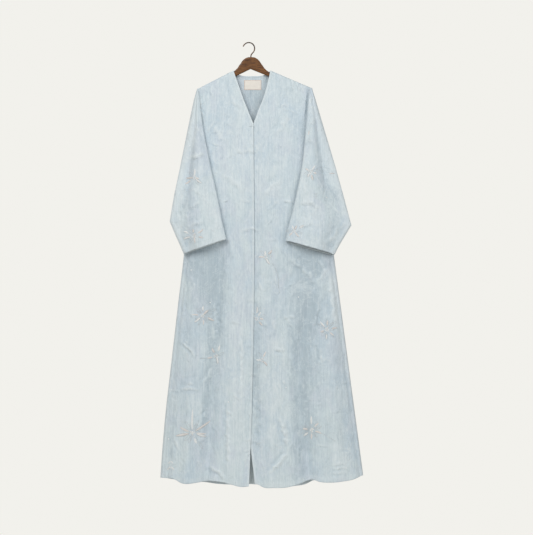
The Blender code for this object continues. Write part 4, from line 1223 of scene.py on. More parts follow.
def make_label_material():
    """Cream satin: a fine rib across, slow clouds of tone, and a border that the "edge" attribute
    marks."""
    made, tree, shader, where = new_material("label_satin", Roughness=0.42, Sheen_Weight=0.3)
    rib = noise(tree, where, (700.0, 700.0, 3200.0), 1.0)
    clouds = noise(tree, where, (60.0, 60.0, 60.0), 3.0)
    border = add_node(tree, "ShaderNodeAttribute", {"attribute_name": "edge"}).outputs["Fac"]
    paler = tuple(1.08 * c for c in LABEL_CREAM)
    colour = mix(tree, remap(tree, clouds, 0.35, 0.65), LABEL_CREAM, paler)
    colour = lay_over(tree, colour, rib, 0.4, 0.7, 0.12, LABEL_ROSE)
    colour_and_bump(tree, shader, mix(tree, border, colour, LABEL_ROSE), rib, 0.5, 0.0003)
    return made


(label_x, label_z), (label_w, label_h) = LABEL_CENTRE, LABEL_SIZE
u, v = np.meshgrid(np.linspace(-1, 1, LABEL_GRID[0]), np.linspace(1, -1, LABEL_GRID[1]))
x, z = label_x + u * label_w / 2, label_z + v * label_h / 2
sag = LABEL_WAVE * np.sin(2.4 * u + 0.7) * (1 - v**2) + LABEL_CURL * (u * v) ** 2
label_grid = np.stack([x, layer_y("back", x, z) - LABEL_RISE - sag, z], axis=-1)
from_edge = np.minimum((1 - np.abs(u)) * label_w / 2, (1 - np.abs(v)) * label_h / 2)
border = 1 - ease(*LABEL_BORDER, from_edge)
label = cloth_piece(
    "label_satin", label_grid, TO_FRONT, make_label_material(), "neck_label", "label",
    edge=LABEL_BORDER_TONE * border, tone=0 * x, thick=THIN,
)
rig.sheet(label, held="laid", rests_on=["cloth_back"], **cut_size(label_grid))


# The hanger
# A slim board of dark stained and varnished wood, sawn to shape, with a swivel hook of steel wire in
# a dark bronze finish. The solids keep their shapes and get these finishes.
WOOD_DARK = (0.082, 0.030, 0.008)
WOOD_LIGHT = (0.225, 0.096, 0.028)
WOOD_PORE = (0.025, 0.011, 0.006)
BRONZE_DARK = (0.070, 0.046, 0.032)
BRONZE_PALE = (0.190, 0.130, 0.088)


def make_wood_material():
    """Stained wood under varnish: long grain from stretched and bent noise, slow patches of stain, and
    dark pores in fine streaks."""
    made, tree, shader, where = new_material(
        "stained_wood", Roughness=0.38, Coat_Weight=0.06, Coat_Roughness=0.35, Specular_IOR_Level=0.28,
    )
    grain = noise(tree, where, (30.0, 160.0, 160.0), 5.0, 0.6, 1.4)
    pores = noise(tree, where, (90.0, 900.0, 900.0), 2.0, 0.6)
    stain = noise(tree, where, (21.0, 40.0, 40.0), 2.0)
    colour = mix(tree, remap(tree, grain, 0.36, 0.66), WOOD_DARK, WOOD_LIGHT)
    colour = lay_over(tree, colour, stain, 0.4, 0.7, 0.35, WOOD_DARK)
    colour = lay_over(tree, colour, pores, 0.54, 0.70, 0.7, WOOD_PORE)
    tree.links.new(remap(tree, grain, 0.3, 0.7, 0.46, 0.32), shader.inputs["Roughness"])
    colour_and_bump(tree, shader, colour, pores, 0.35, 0.0003)
    return made


def make_bronze_material():
    """Dark bronze finish on steel, rubbed paler in patches and finely scratched."""
    made, tree, shader, where = new_material("dark_bronze", Roughness=0.3, Metallic=1.0)
    rubbed = noise(tree, where, (120.0, 120.0, 120.0), 4.0, 0.6)
    scratched = noise(tree, where, (2600.0, 300.0, 300.0), 2.0)
    colour = mix(tree, remap(tree, rubbed, 0.42, 0.68), BRONZE_DARK, BRONZE_PALE)
    tree.links.new(colour, shader.inputs["Base Color"])
    tree.links.new(remap(tree, scratched, 0.35, 0.7, 0.26, 0.44), shader.inputs["Roughness"])
    return made


for name, look in (("hanger_wood", make_wood_material()), ("hanger_hook", make_bronze_material())):
    nodes[name].data.materials.clear()
    nodes[name].data.materials.append(look)


# The stitching
# Fine running stitches in pale blue thread hold the neckline, the lap, the hem, the cuffs and the
# neck facing, and cream thread holds the label. A short bar tack closes the bottom of the neck.
STITCH = {"length": 0.0026, "width": 0.00062, "height": 0.00040}
STITCH_PITCH = 0.0034
# Stations along a stitch: where, how much of its width and height, and how high its middle is
STITCH_STATIONS = ((-0.5, 0.35, -0.3), (-0.3, 1.0, 0.35), (0.3, 1.0, 0.35), (0.5, 0.35, -0.3))
STITCH_INSET = 0.0012  # from the inner edge of the strip, hem or cuff
SEAM_START = 0.004  # below the neck point, and below the corner of the neckline and the lap
SEAM_POINTS = (90, 200)
LAP_STITCHED = {"right": -1.520, "left": -0.325}  # down to these heights
TACK = {"x": (0.0030, 0.0150), "z": -0.2916, "pitch": 0.0009}
TACK_STITCH = {"length": 0.0030, "width": 0.00080, "height": 0.00060}
FACING_SEWN = (-0.98, 0.98, 80)  # across the facing, and in how many points
LABEL_POINTS = (30, 18)  # along its seam's sides
THREAD_RISE = 0.0002  # of its middle from the cloth
SLOPE_STEP = 0.0005
THREAD_BLUE = ((0.58, 0.66, 0.69), (0.70, 0.77, 0.79))
THREAD_CREAM = ((0.70, 0.60, 0.52), (0.82, 0.74, 0.66))
FACES = {
    "front_right": lambda x, z: front_y("right", x, z),
    "front_left": lambda x, z: front_y("left", x, z),
    "sleeve_right": lambda x, z: sleeve_y("right", x, z),
    "sleeve_left": lambda x, z: sleeve_y("left", x, z),
    "back": lambda x, z: layer_y("back", x, z),
    "back_inside": lambda x, z: layer_y("back", x, z) - LABEL_RISE,
}


def on_face(face, x, z, rise=0.0):
    """Points on a cloth face at (x, z), moved out square to it by rise, and the unit normals there,
    from differences of the face's y over a short step to each side."""
    find, step = FACES[face], SLOPE_STEP
    y = find(x, z)
    slope_x = (find(x + step, z) - find(x - step, z)) / (2 * step)
    slope_z = (find(x, z + step) - find(x, z - step)) / (2 * step)
    normal = np.stack([slope_x, -np.ones_like(y), slope_z], axis=-1)
    normal = normal / np.linalg.norm(normal, axis=-1, keepdims=True)
    if face == "back":
        normal = -normal
    rise = np.asarray(rise, float)
    return np.stack([x, y, z], axis=-1) + normal * rise[..., None], normal


def spaced(points, step):
    """Rows of numbers at equal steps along a line; the first three of each are its x, y and z."""
    run = np.concatenate([[0.0], np.cumsum(np.linalg.norm(np.diff(points[:, :3], axis=0), axis=1))])
    count = max(int(run[-1] / step), 1)
    at = (np.arange(count) + 0.5) * run[-1] / count
    return np.stack([np.interp(at, run, points[:, i]) for i in range(points.shape[1])], axis=1)


def unit(v):
    """Vectors brought to a length of 1."""
    return v / np.maximum(np.linalg.norm(v, axis=-1, keepdims=True), 1e-9)


def make_piece(name, points, quads, look, slot, uv=None):
    """A mesh of points and faces with one material, riding on the part. uv is a pair for each point."""
    mesh = bpy.data.meshes.new(name)
    mesh.from_pydata(np.asarray(points).reshape(-1, 3).tolist(), [], [list(q) for q in quads])
    mesh.shade_smooth()
    if uv is not None:
        corner = np.empty(len(mesh.loops), dtype=np.int32)
        mesh.loops.foreach_get("vertex_index", corner)
        layer = mesh.uv_layers.new(name="UVMap")
        layer.data.foreach_set("uv", np.asarray(uv, dtype=np.float32).reshape(-1, 2)[corner].reshape(-1))
    mesh.materials.append(look)
    made = bpy.data.objects.new(name, mesh)
    bpy.context.scene.collection.objects.link(made)
    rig.ride(made, "root")
    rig.slot(made, slot)


def repeat(shape, faces, centre, way, normal):
    """A small shape of (along, across, up) points put at every centre, along way and up normal.
    Returns all the points and the faces."""
    across = unit(np.cross(normal, way))
    frames = np.stack([way, across, normal], axis=1)
    points = centre[:, None, :] + np.einsum("pk,nkd->npd", shape, frames)
    starts = range(0, len(centre) * len(shape), len(shape))
    return points.reshape(-1, 3), [[i + start for i in face] for start in starts for face in faces]


def stitch_shape(length, width, height):
    """A rounded bar that dips at both ends: four stations along it, each a ring of four."""
    points = []
    for a, spread, up in STITCH_STATIONS:
        ring = ((-0.5 * spread, up), (0.0, up + 0.5 * spread), (0.5 * spread, up), (0.0, up - 0.5 * spread))
        points += [(a * length, b * width, c * height) for b, c in ring]
    faces = [
        (4 * i + j, 4 * i + 4 + j, 4 * i + 4 + (j + 1) % 4, 4 * i + (j + 1) % 4)
        for i in range(3) for j in range(4)
    ]
    return np.array(points), faces + [(0, 1, 2, 3), (15, 14, 13, 12)]


def make_thread_material(name, colour, paler):
    """Twisted thread: its ply as fine noise, uneven dye as slower noise, and a soft sheen."""
    made, tree, shader, where = new_material(name, Roughness=0.55, Sheen_Weight=0.35)
    ply = noise(tree, where, (2400.0, 2400.0, 2400.0), 2.0)
    dyed = noise(tree, where, (160.0, 160.0, 160.0), 2.0)
    shade = mix(tree, remap(tree, dyed, 0.35, 0.65), colour, paler)
    shade = lay_over(tree, shade, ply, 0.45, 0.75, 0.35, tuple(0.6 * c for c in colour))
    colour_and_bump(tree, shader, shade, ply, 0.5, 0.0002)
    return made


def sew(name, paths, look, slot="cloth"):
    """Running stitches along paths, each a line of points with their normals."""
    lines = [np.hstack([points, normals, unit(np.gradient(points, axis=0))]) for points, normals in paths]
    row = np.concatenate([spaced(line, STITCH_PITCH) for line in lines])
    stitches = repeat(*stitch_shape(**STITCH), row[:, :3], unit(row[:, 6:]), unit(row[:, 3:6]))
    make_piece(name, *stitches, look, slot)


def inset_line(side, lowest, inset):
    """A line on a front at an equal distance in from its neckline and opening edge, as (x, z)."""
    neck, corner_z = [(z, x) for x, z in NECK_EDGE[side]], NECK_EDGE[side][-1][1]
    z_neck = np.linspace(NECK_POINT[side][1] - SEAM_START, corner_z, SEAM_POINTS[0])
    z_open = np.linspace(corner_z - SEAM_START, lowest, SEAM_POINTS[1])
    x = np.concatenate([spline(z_neck, neck), spline(z_open, OPENING_EDGE[side])])
    z = np.concatenate([z_neck, z_open])
    dx, dz = np.gradient(x), np.gradient(z)
    shift = inset * OUTWARD[side] / np.hypot(dx, dz)
    return x - shift * dz, z + shift * dx


def turned_seam(grid, facing, depth):
    """The row of a grid that a turned edge of this depth is sewn along, measured in its middle column:
    its points and their normals."""
    rise = rise_from_last(grid)[:, grid.shape[1] // 2]
    row = int(np.argmin(np.abs(rise - (depth - STITCH_INSET))))
    return grid[row], grid_normals(grid, facing)[row]


blue_thread = make_thread_material("blue_thread", *THREAD_BLUE)
for side in SIDES:
    line = inset_line(side, LAP_STITCHED[side], STRIP - STITCH_INSET)
    neck_and_lap = on_face(f"front_{side}", *line, STRIP_RAISE)
    hem = turned_seam(front_grids[side], TO_FRONT, HEM_DEPTH)
    sew(f"stitches_front_{side}", [hem, neck_and_lap], blue_thread)
    cuff = turned_seam(sleeve_grids[side], TO_FRONT, CUFF_DEPTH)
    sew(f"stitches_cuff_{side}", [[np.vstack([part, part[:1]]) for part in cuff]], blue_thread)

u = np.linspace(*FACING_SEWN)
x = facing_x(u)
facing_seam = on_face("back", x, back_top(x) - facing_drop(u) + STITCH_INSET)
sew("stitches_back", [turned_seam(back_grid, TO_BACK, HEM_DEPTH), facing_seam], blue_thread)

wide, high = LABEL_POINTS
run, ends, climb = np.linspace(-1, 1, wide), np.ones(high), np.linspace(-1, 1, high)
u = np.concatenate([run, ends, -run, -ends])
v = np.concatenate([np.ones(wide), -climb, -np.ones(wide), climb])
x, z = label_x + u * (label_w / 2 - STITCH_INSET), label_z + v * (label_h / 2 - STITCH_INSET)
cream_thread = make_thread_material("cream_thread", *THREAD_CREAM)
sew("stitches_label", [on_face("back_inside", x, z, THREAD_RISE)], cream_thread, "label")

x = np.arange(*TACK["x"], TACK["pitch"])
centre, normal = on_face("front_right", x, np.full(x.shape, TACK["z"]), STRIP_RAISE)
upright = unit(np.cross(np.cross(normal, (0.0, 0.0, 1.0)), normal))
make_piece("bar_tack", *repeat(*stitch_shape(**TACK_STITCH), centre, upright, normal), blue_thread, "cloth")


# The embroidery
# Daisies worked through the cloth, with long narrow satin-stitch petals in rose-beige and pale thread
# and others only outlined in grey. Leaves, stems and small flowers are outlined in pale thread.
FLOWER = ("face", "x", "z", "width", "beads", "filled", "lined")
FLOWERS = (  # each petal is (degrees from +X, start, end), in mm from the flower's centre
    ("sleeve_right", -0.1886, -0.4715, 0.0054, 0,
     ((87, 6, 33), (183, 5, 30), (-15, 4, 18), (-36, 6, 33), (212, 16, 40)),
     ((-58, 8, 30), (130, 8, 28))),
    ("sleeve_right", -0.1886, -0.6734, 0.0052, 2,
     ((158, 22, 41), (100, 12, 24), (37, 16, 40), (196, 14, 39), (-83, 4, 27), (-12, 16, 32)),
     ((128, 10, 30), (236, 10, 28))),
    ("sleeve_left", 0.2151, -0.4507, 0.0052, 1,
     ((53, 7, 28), (-75, 11, 31), (150, 7, 22), (245, 8, 22), (-20, 10, 22)),
     ((20, 8, 26), (195, 8, 22))),
    ("sleeve_left", 0.2325, -0.5342, 0.0030, 0,
     (),
     ((60, 2, 10), (132, 2, 10), (204, 2, 9), (276, 2, 10), (348, 2, 9))),
    ("sleeve_left", 0.1576, -0.6560, 0.0052, 2,
     ((104, 5, 20), (62, 5, 21), (-50, 5, 28), (28, 21, 39), (225, 8, 24)),
     ((180, 8, 28), (-20, 10, 30))),
    ("front_left", 0.0585, -0.7465, 0.0058, 0,
     ((92, 5, 22), (48, 14, 33), (180, 8, 25), (-58, 6, 30)),
     ((130, 8, 28), (12, 8, 24))),
    ("front_left", 0.0271, -0.9605, 0.0052, 1,
     ((55, 10, 28), (-50, 14, 32), (-8, 10, 26), (88, 18, 42)),
     ((70, 22, 44), (20, 12, 34))),
    ("front_left", 0.2725, -0.9988, 0.0052, 4,
     ((131, 12, 37), (85, 14, 33), (195, 12, 24), (266, 16, 34), (-40, 14, 32), (10, 16, 36)),
     ((48, 14, 34), (232, 12, 30))),
    ("front_right", -0.1594, -0.9497, 0.0054, 5,
     ((88, 16, 34), (43, 6, 27), (175, 14, 38), (217, 12, 38), (272, 14, 33), (-25, 18, 44)),
     ((26, 30, 50), (132, 12, 34), (-60, 10, 30))),
    ("front_right", -0.1120, -1.0927, 0.0056, 1,
     ((73, 20, 42), (117, 15, 33), (190, 14, 33), (-80, 8, 26)),
     ((30, 8, 30),)),
    ("front_left", 0.0463, -1.1049, 0.0052, 0,
     ((175, 5, 21), (-47, 7, 27), (65, 11, 33)),
     ((243, 16, 32), (110, 10, 28))),
    ("front_right", -0.1956, -1.3572, 0.0064, 6,
     ((89, 10, 84), (33, 12, 75), (-5, 14, 49), (-16, 16, 50), (155, 12, 48), (191, 12, 60),
      (-68, 20, 40)),
     ((-58, 36, 66), (225, 12, 38), (250, 12, 36), (122, 14, 46), (62, 14, 48))),
    ("front_left", 0.2192, -1.3475, 0.0056, 6,
     ((92, 20, 49), (-20, 12, 37), (268, 12, 33), (219, 16, 36), (44, 14, 34), (175, 14, 32)),
     ((20, 16, 36), (150, 10, 30), (-52, 10, 32))),
    ("front_left", 0.0324, -1.3937, 0.0032, 1,
     (),
     ((10, 3, 11), (82, 3, 11), (154, 3, 10), (226, 3, 11), (298, 3, 10))),
    ("back", -0.1300, -0.7600, 0.0046, 5,
     ((80, 8, 36), (30, 8, 34), (-28, 10, 38), (212, 10, 36), (160, 8, 32)),
     ((118, 10, 32), (250, 10, 34), (-70, 10, 36))),
    ("back", 0.1450, -0.9300, 0.0044, 3,
     ((60, 8, 30), (112, 8, 28), (188, 10, 32), (-60, 8, 30)),
     ((20, 8, 30), (150, 8, 28))),
    ("back", -0.0300, -1.0800, 0.0046, 5,
     ((92, 8, 34), (44, 10, 36), (-12, 8, 34), (-64, 8, 30), (172, 10, 38)),
     ((136, 10, 32), (228, 10, 34), (270, 10, 30))),
    ("back", 0.1900, -1.3300, 0.0052, 6,
     ((94, 10, 66), (38, 12, 56), (-14, 12, 44), (150, 12, 46), (198, 12, 52), (-66, 14, 42)),
     ((64, 12, 40), (122, 12, 42), (236, 12, 40), (266, 12, 36))),
    ("back", -0.1950, -1.2900, 0.0046, 5,
     ((70, 8, 40), (18, 10, 42), (-46, 10, 34), (170, 8, 36)),
     ((110, 10, 34), (222, 10, 36), (258, 10, 30))),
    ("back", 0.0500, -0.6000, 0.0044, 2,
     ((84, 6, 24), (140, 6, 22), (-40, 6, 26)),
     ((30, 6, 24), (200, 6, 24))),
)
# Rings of petals round a centre: how many, start and end in mm, range of lengths, share of the width
SHORT = {"count": 7, "start": 2.5, "end": 9.0, "vary": (0.6, 1.3), "width": 0.6}
LONG = {"count": 7, "start": 9.0, "end": 34.0, "vary": (0.6, 1.2), "width": 0.9}
LONG_FROM = 4  # beads in the centre: such large flowers have the long ring too
PETAL_SEED = 27
RING_TURN = (-0.3, 0.3)  # of a petal's share of the ring
PETAL_WIDEN = (1.04, 1.28)  # range of each petal's width, and of how far its axis bows
PETAL_BEND = (-0.0018, 0.0018)
BEAD_RING = 0.0030
PETAL = ("face", "x", "z", "degrees", "length", "width")
PETALS_APART = (
    ("sleeve_left", 0.2095, -0.3069, -99, 0.0170, 0.0040),
    ("sleeve_left", 0.2794, -0.4559, 0, 0.0210, 0.0036),
    ("front_right", -0.2725, -1.4570, -136, 0.0120, 0.0040),
    ("front_right", -0.2715, -1.4570, -44, 0.0120, 0.0040),
    ("front_right", -0.2735, -1.4755, -134, 0.0170, 0.0046),
    ("front_right", -0.2705, -1.4755, -46, 0.0170, 0.0046),
)
STEMS = (
    ("front_left", ((0.0797, -0.7660), (0.0919, -0.7834), (0.0995, -0.8056), (0.1034, -0.8255),
                    (0.1044, -0.8505), (0.1068, -0.8728))),
    ("front_right", ((-0.1695, -1.0979), (-0.1580, -1.0985), (-0.1451, -1.0975))),
    ("front_left", ((0.2540, -1.3589), (0.2714, -1.3683), (0.3014, -1.3857))),
    ("back", ((0.1500, -0.9500), (0.1700, -0.9900), (0.1720, -1.0400))),
    ("back", ((0.0560, -0.6200), (0.0740, -0.6500), (0.0760, -0.6900))),
)
STEM_POINTS = 30
LEAVES = (
    ("sleeve_right", -0.1987, -0.5133, 180, 0.026, 0.0090),
    ("sleeve_left", 0.2342, -0.4420, 0, 0.049, 0.0110),
    ("sleeve_left", 0.2377, -0.4559, -3, 0.049, 0.0110),
    ("sleeve_left", 0.2192, -0.2871, 40, 0.020, 0.0080),
    ("front_left", 0.2774, -0.9762, 3, 0.030, 0.0090),
    ("front_left", 0.3200, -1.1200, 70, 0.038, 0.0120),
    ("front_left", 0.3350, -1.1900, 80, 0.040, 0.0120),
    ("front_left", 0.3420, -1.2900, 85, 0.036, 0.0120),
    ("front_left", 0.3520, -1.4100, 80, 0.040, 0.0120),
    ("front_left", 0.3440, -1.4560, 70, 0.030, 0.0110),
    ("front_right", -0.2740, -1.4840, 30, 0.028, 0.0110),
    ("front_right", -0.2600, -1.4900, 140, 0.026, 0.0100),
    ("back", -0.0900, -0.7900, -20, 0.036, 0.0120),
    ("back", 0.2300, -1.1400, 70, 0.038, 0.0120),
    ("back", -0.2100, -1.4200, 100, 0.036, 0.0120),
)
PETALS_APART_BEND = 0.001
LEAF_BEND = 0.002
PETAL_RISE = 0.0011
PETAL_SINK = 0.0005
PETAL_END = 0.012  # share of the length by which the first and last rings stand back from its ends
PETAL_RINGS, PETAL_SIDES = 16, 10
PETAL_POWER = {"middle": 0.85, "tip": 0.62, "dome": 0.5}
OUTLINE = 0.00040  # radius of its thread
OUTLINE_CLEAR = 0.0003
OUTLINE_POINTS = 18
STEM_THREAD = 0.0010  # radius
THREAD_SIDES = 6
# Each satin: its colour, a paler one, and the painted shade in the grooves between its threads
SATIN_ROSE = ((0.700, 0.680, 0.670), (0.790, 0.770, 0.760), (0.520, 0.510, 0.515))
SATIN_PALE = ((0.760, 0.785, 0.795), (0.850, 0.868, 0.876), (0.600, 0.632, 0.650))
THREAD_GREY = ((0.400, 0.430, 0.448), (0.520, 0.546, 0.560))
THREAD_PALE = ((0.440, 0.500, 0.535), (0.640, 0.690, 0.715))


def ring_faces(rings, around):
    """The points' numbers in rings, and quads between the rings."""
    index = np.arange(rings * around).reshape(rings, around)
    ahead = np.roll(index, -1, axis=1)
    return index, np.stack([index[:-1], ahead[:-1], ahead[1:], index[1:]], axis=-1).reshape(-1, 4).tolist()


def loft_faces(rings, around):
    """Quads between rings of points, and a face to close each end."""
    index, side = ring_faces(rings, around)
    return side + [index[0, ::-1].tolist(), index[-1].tolist()]


def petal_outline(width, share):
    """Half width of a petal at a share of its length: a sine bell with its middle moved inwards and
    its ends made blunter by two powers."""
    along = np.clip(share, 0, 1) ** PETAL_POWER["middle"]
    return width / 2 * np.sin(math.pi * along) ** PETAL_POWER["tip"]


def beside_axis(x, z, angle, length, gap, bend, share, side):
    """x and z at a share of a petal's length beyond gap from (x, z), and at side from its axis, which
    leans by angle and bows by bend in the middle."""
    reach, side = gap + share * length, side + bend * share * (1 - share) * 4
    cos, sin = math.cos(angle), math.sin(angle)
    return x + reach * cos - side * sin, z + reach * sin + side * cos


def petal(face, x, z, angle, length, width, gap, bend):
    """A satin-stitch petal: rings across a curved axis from gap to length beyond the centre, domed
    above the cloth and sunk into it below."""
    share = np.linspace(PETAL_END, 1 - PETAL_END, PETAL_RINGS)[:, None]
    turn = np.linspace(0, 2 * math.pi, PETAL_SIDES, endpoint=False)
    half = petal_outline(width, share)
    across = half * np.cos(turn)
    domed = PETAL_RISE * np.sin(turn) * (half / width * 2) ** PETAL_POWER["dome"]
    up = np.where(np.sin(turn) > 0, domed, PETAL_SINK * np.sin(turn))
    points, _ = on_face(face, *beside_axis(x, z, angle, length, gap, bend, share, across), up)
    uv = np.stack([gap + share * length + 0 * across, across], axis=-1)
    faces = loft_faces(PETAL_RINGS, PETAL_SIDES)
    faces = [f[::-1] for f in faces] if face == "back" else faces
    return points.reshape(-1, 3), faces, uv.reshape(-1, 2)


def thread(face, x, z, radius):
    """A thread lying on the cloth along (x, z): a ring of points round each of the line's."""
    points, normal = on_face(face, x, z, THREAD_RISE)
    way = unit(np.gradient(points, axis=0))
    across = np.cross(normal, way)
    turn = np.linspace(0, 2 * math.pi, THREAD_SIDES, endpoint=False)
    cos, sin = np.cos(turn)[None, :, None], np.sin(turn)[None, :, None]
    ring = across[:, None, :] * cos + normal[:, None, :] * sin
    run = np.concatenate([[0.0], np.cumsum(np.linalg.norm(np.diff(points, axis=0), axis=1))])
    uv = np.stack([run[:, None] + 0 * turn, radius * turn + 0 * run[:, None]], axis=-1)
    points = points[:, None, :] + radius * ring
    return points.reshape(-1, 3), loft_faces(len(points), THREAD_SIDES), uv.reshape(-1, 2)


def outline(face, x, z, angle, length, width, gap, bend):
    """The thread round a petal or leaf: out along one side of its outline and back along the other."""
    out = np.linspace(0.0, 1.0, OUTLINE_POINTS)
    share = np.concatenate([out, np.linspace(1.0, 0.0, OUTLINE_POINTS)[1:]])
    sign = np.concatenate([np.ones(OUTLINE_POINTS), -np.ones(OUTLINE_POINTS - 1)])
    side = sign * (petal_outline(width, share) + OUTLINE_CLEAR)
    return thread(face, *beside_axis(x, z, angle, length, gap, bend, share, side), OUTLINE)


def join(parts):
    """One set of points, faces and UV pairs from several."""
    points, faces, uv, offset = [], [], [], 0
    for part_points, part_faces, part_uv in parts:
        points.append(part_points)
        uv.append(part_uv)
        faces += [[i + offset for i in face] for face in part_faces]
        offset += len(part_points)
    return np.concatenate(points), faces, np.concatenate(uv)


def make_satin_material(name, colour, paler, deep):
    """Satin stitch: threads two thirds of a millimetre wide laid slanting across the petal in its UV
    map, uneven in colour, with painted shade in the grooves between them and a silky sheen."""
    made, tree, shader, where = new_material(
        name, "UV", Roughness=0.42, Sheen_Weight=0.4, Anisotropic=0.35,
    )
    laid = add_node(tree, "ShaderNodeMapping", Vector=where, Rotation=(0, 0, math.radians(20)))
    bands = add_node(tree, "ShaderNodeTexWave", {"wave_type": "BANDS", "bands_direction": "X"},
                     Vector=laid.outputs[0], Scale=460.0, Distortion=0.6)
    shades = noise(tree, laid.outputs[0], (2900.0, 60.0, 60.0), 1.0)
    shade = mix(tree, remap(tree, shades, 0.35, 0.65), colour, paler)
    shade = lay_over(tree, shade, bands.outputs["Fac"], 0.35, 0.0, 0.6, deep)
    colour_and_bump(tree, shader, shade, bands.outputs["Fac"], 0.6, 0.0003)
    return made


rng = np.random.default_rng(PETAL_SEED)


def petal_ring(flower, ring):
    """Petals evenly round a flower's centre, each a little off its place and its length."""
    for k in range(ring["count"]):
        length = (ring["end"] - ring["start"]) / 1000 * rng.uniform(*ring["vary"])
        angle = math.radians(360 * (k + rng.uniform(*RING_TURN)) / ring["count"])
        size = (length, ring["width"] * flower["width"], ring["start"] / 1000)
        yield (flower["face"], flower["x"], flower["z"], angle, *size, 0.0)


filled, pale, lined, leafy, beads = [], [], [], [], []
for row in FLOWERS:
    f = dict(zip(FLOWER, row))
    for kind in ("filled", "lined"):
        for k, (degrees, start, end) in enumerate(f[kind]):
            size = ((end - start) / 1000, f["width"] * rng.uniform(*PETAL_WIDEN), start / 1000)
            shape = (f["face"], f["x"], f["z"], math.radians(degrees), *size, rng.uniform(*PETAL_BEND))
            if kind == "filled":
                (pale if k % 3 == 0 else filled).append(petal(*shape))
            if kind == "lined" or k % 2:
                (lined if f["filled"] else leafy).append(outline(*shape))
    if f["beads"] >= LONG_FROM:
        lined += [outline(*shape) for shape in petal_ring(f, LONG)]
    if f["filled"]:
        for k, shape in enumerate(petal_ring(f, SHORT)):
            (filled if k % 2 else pale).append(petal(*shape))
    for k in range(f["beads"]):
        ring = 0.0 if k == 0 else BEAD_RING
        around = 2 * math.pi * k / max(f["beads"] - 1, 1)
        beads.append((f["face"], f["x"] + ring * math.cos(around), f["z"] + ring * math.sin(around)))

for row in PETALS_APART:
    p = dict(zip(PETAL, row))
    shape = (p["face"], p["x"], p["z"], math.radians(p["degrees"]), p["length"], p["width"], 0.0)
    (filled if p["face"].startswith("sleeve") else pale).append(petal(*shape, PETALS_APART_BEND))
for face, points in STEMS:
    line, keys = np.array(points), np.arange(len(points))
    at = np.linspace(0, keys[-1], STEM_POINTS)
    x, z = (spline(at, tuple(zip(keys, line[:, i]))) for i in (0, 1))
    leafy.append(thread(face, x, z, STEM_THREAD))
for row in LEAVES:
    p = dict(zip(PETAL, row))
    shape = (p["face"], p["x"], p["z"], math.radians(p["degrees"]), p["length"], p["width"], 0.0)
    leafy.append(outline(*shape, LEAF_BEND))

for name, parts, look in (
    ("petals_rose", filled, make_satin_material("rose_satin_stitch", *SATIN_ROSE)),
    ("petals_pale", pale, make_satin_material("pale_satin_stitch", *SATIN_PALE)),
    ("outline_threads", lined, make_thread_material("grey_thread", *THREAD_GREY)),
    ("leaf_threads", leafy, make_thread_material("pale_thread", *THREAD_PALE)),
):
    points, faces, uv = join(parts)
    make_piece(name, points, faces, look, "cloth", uv)


# The beads and sequins
# Small white glass beads sewn in the daisies' centres, and single cupped pearl sequins sewn flat
# between the daisies.
BEAD = 0.0014  # radius
BEAD_TALL = 0.8  # height as a share of the width
BEAD_TILTS = (-62, -22, 22, 62)
BEAD_SIDES = 8
BEAD_RISE = 0.0008
SEQUIN = 0.0022  # radius
SEQUIN_SIDES = 12
SEQUIN_PROFILE = ((0.28, 0.10), (0.62, 0.06), (1.0, 0.26), (1.0, 0.34), (0.62, 0.14), (0.28, 0.18))
SEQUIN_RISE = 0.0004
SEWN_WAY = (0.3, 0.1, 1.0)  # what is sewn on is turned square to this
GLASS_TINTS = ((0.86, 0.87, 0.86), (0.94, 0.94, 0.92))
PEARL_TINTS = ((0.86, 0.90, 0.93), (0.94, 0.93, 0.92))
SEQUINS = (
    ("front_right", -0.2000, -0.7920), ("front_right", -0.1340, -0.9050), ("front_left", 0.1733, -0.8857),
    ("front_right", -0.2787, -1.3801), ("front_left", 0.1300, -1.2000), ("front_right", -0.0700, -1.2500),
    ("sleeve_right", -0.2050, -0.3600), ("sleeve_left", 0.2700, -0.5400),
    ("back", -0.0600, -0.5500), ("back", 0.1200, -0.7700), ("back", -0.1600, -1.0300),
    ("back", 0.0700, -1.2300),
)
BEADS_APART = (
    ("front_left", 0.0759, -0.7395), ("front_left", 0.0762, -0.7447), ("front_left", 0.0757, -0.7499),
    ("front_left", 0.0553, -0.9260),
)


def make_bead_material(name, roughness, coat, tints):
    """Milky glass or pearl: two close tints in slow noise, under a clear coat."""
    made, tree, shader, where = new_material(name, Roughness=roughness, Coat_Weight=coat)
    milky = noise(tree, where, (500.0, 500.0, 500.0), 2.0)
    tree.links.new(mix(tree, remap(tree, milky, 0.35, 0.65), *tints), shader.inputs["Base Color"])
    uneven_gloss = remap(tree, milky, 0.3, 0.7, roughness - 0.04, roughness + 0.10)
    tree.links.new(uneven_gloss, shader.inputs["Roughness"])
    return made


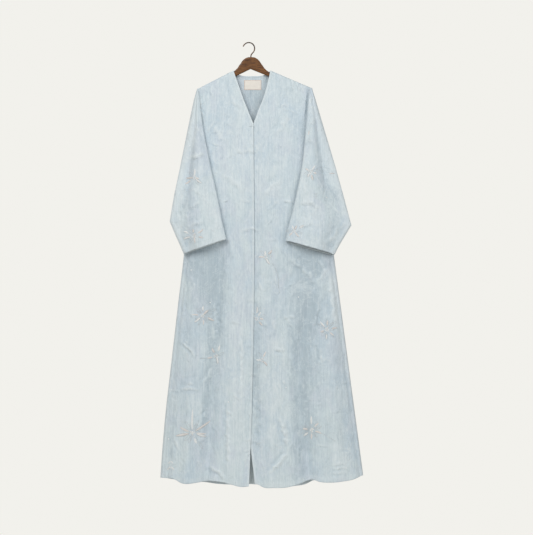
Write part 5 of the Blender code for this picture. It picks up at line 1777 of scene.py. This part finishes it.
def sew_on(name, shape, faces, rows, rise, look):
    """A small shape at each (face, x, z), lying flat on the cloth at a rise above it."""
    found = [on_face(face, np.array([x]), np.array([z]), rise) for face, x, z in rows]
    centre, normal = (np.concatenate([f[i] for f in found]) for i in (0, 1))
    points, quads = repeat(shape, faces, centre, unit(np.cross(normal, SEWN_WAY)), normal)
    make_piece(name, points, quads, look, "cloth")


turn = np.radians(np.arange(BEAD_SIDES) * 360 / BEAD_SIDES)
tilt = np.radians(BEAD_TILTS)[:, None]
up = BEAD_TALL * np.sin(tilt) + 0 * turn
rings = np.stack([np.cos(tilt) * np.cos(turn), np.cos(tilt) * np.sin(turn), up], axis=-1)
poles = np.array([(0.0, 0.0, -BEAD_TALL), (0.0, 0.0, BEAD_TALL)])
bead_shape = BEAD * np.concatenate([rings.reshape(-1, 3), poles])
index, bead_faces = ring_faces(len(BEAD_TILTS), BEAD_SIDES)
ahead = np.roll(index, -1, axis=1)
for pole, one, other in ((index.size, ahead[0], index[0]), (index.size + 1, index[-1], ahead[-1])):
    bead_faces += [[pole, a, b] for a, b in zip(one.tolist(), other.tolist())]
glass = make_bead_material("milky_glass", 0.12, 0.6, GLASS_TINTS)
sew_on("glass_beads", bead_shape, bead_faces, beads + list(BEADS_APART), BEAD_RISE, glass)

turn = np.radians(np.arange(SEQUIN_SIDES) * 360 / SEQUIN_SIDES)[:, None]
reach, up = np.array(SEQUIN_PROFILE).T
sequin_shape = SEQUIN * np.stack([reach * np.cos(turn), reach * np.sin(turn), up + 0 * turn], axis=-1)
index = np.arange(sequin_shape[..., 0].size).reshape(SEQUIN_SIDES, -1)
ahead, inner = np.roll(index, -1, axis=0), np.roll(index, -1, axis=1)
sequin_faces = np.stack([index, ahead, np.roll(ahead, -1, axis=1), inner], axis=-1).reshape(-1, 4).tolist()
pearl = make_bead_material("pearl_sequin", 0.25, 0.5, PEARL_TINTS)
sew_on("pearl_sequins", sequin_shape.reshape(-1, 3), sequin_faces, SEQUINS, SEQUIN_RISE, pearl)


with open("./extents.json", "w") as record:
    record.write(str([[list(corner) for corner in cad_box], [list(corner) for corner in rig.bounds()]]))
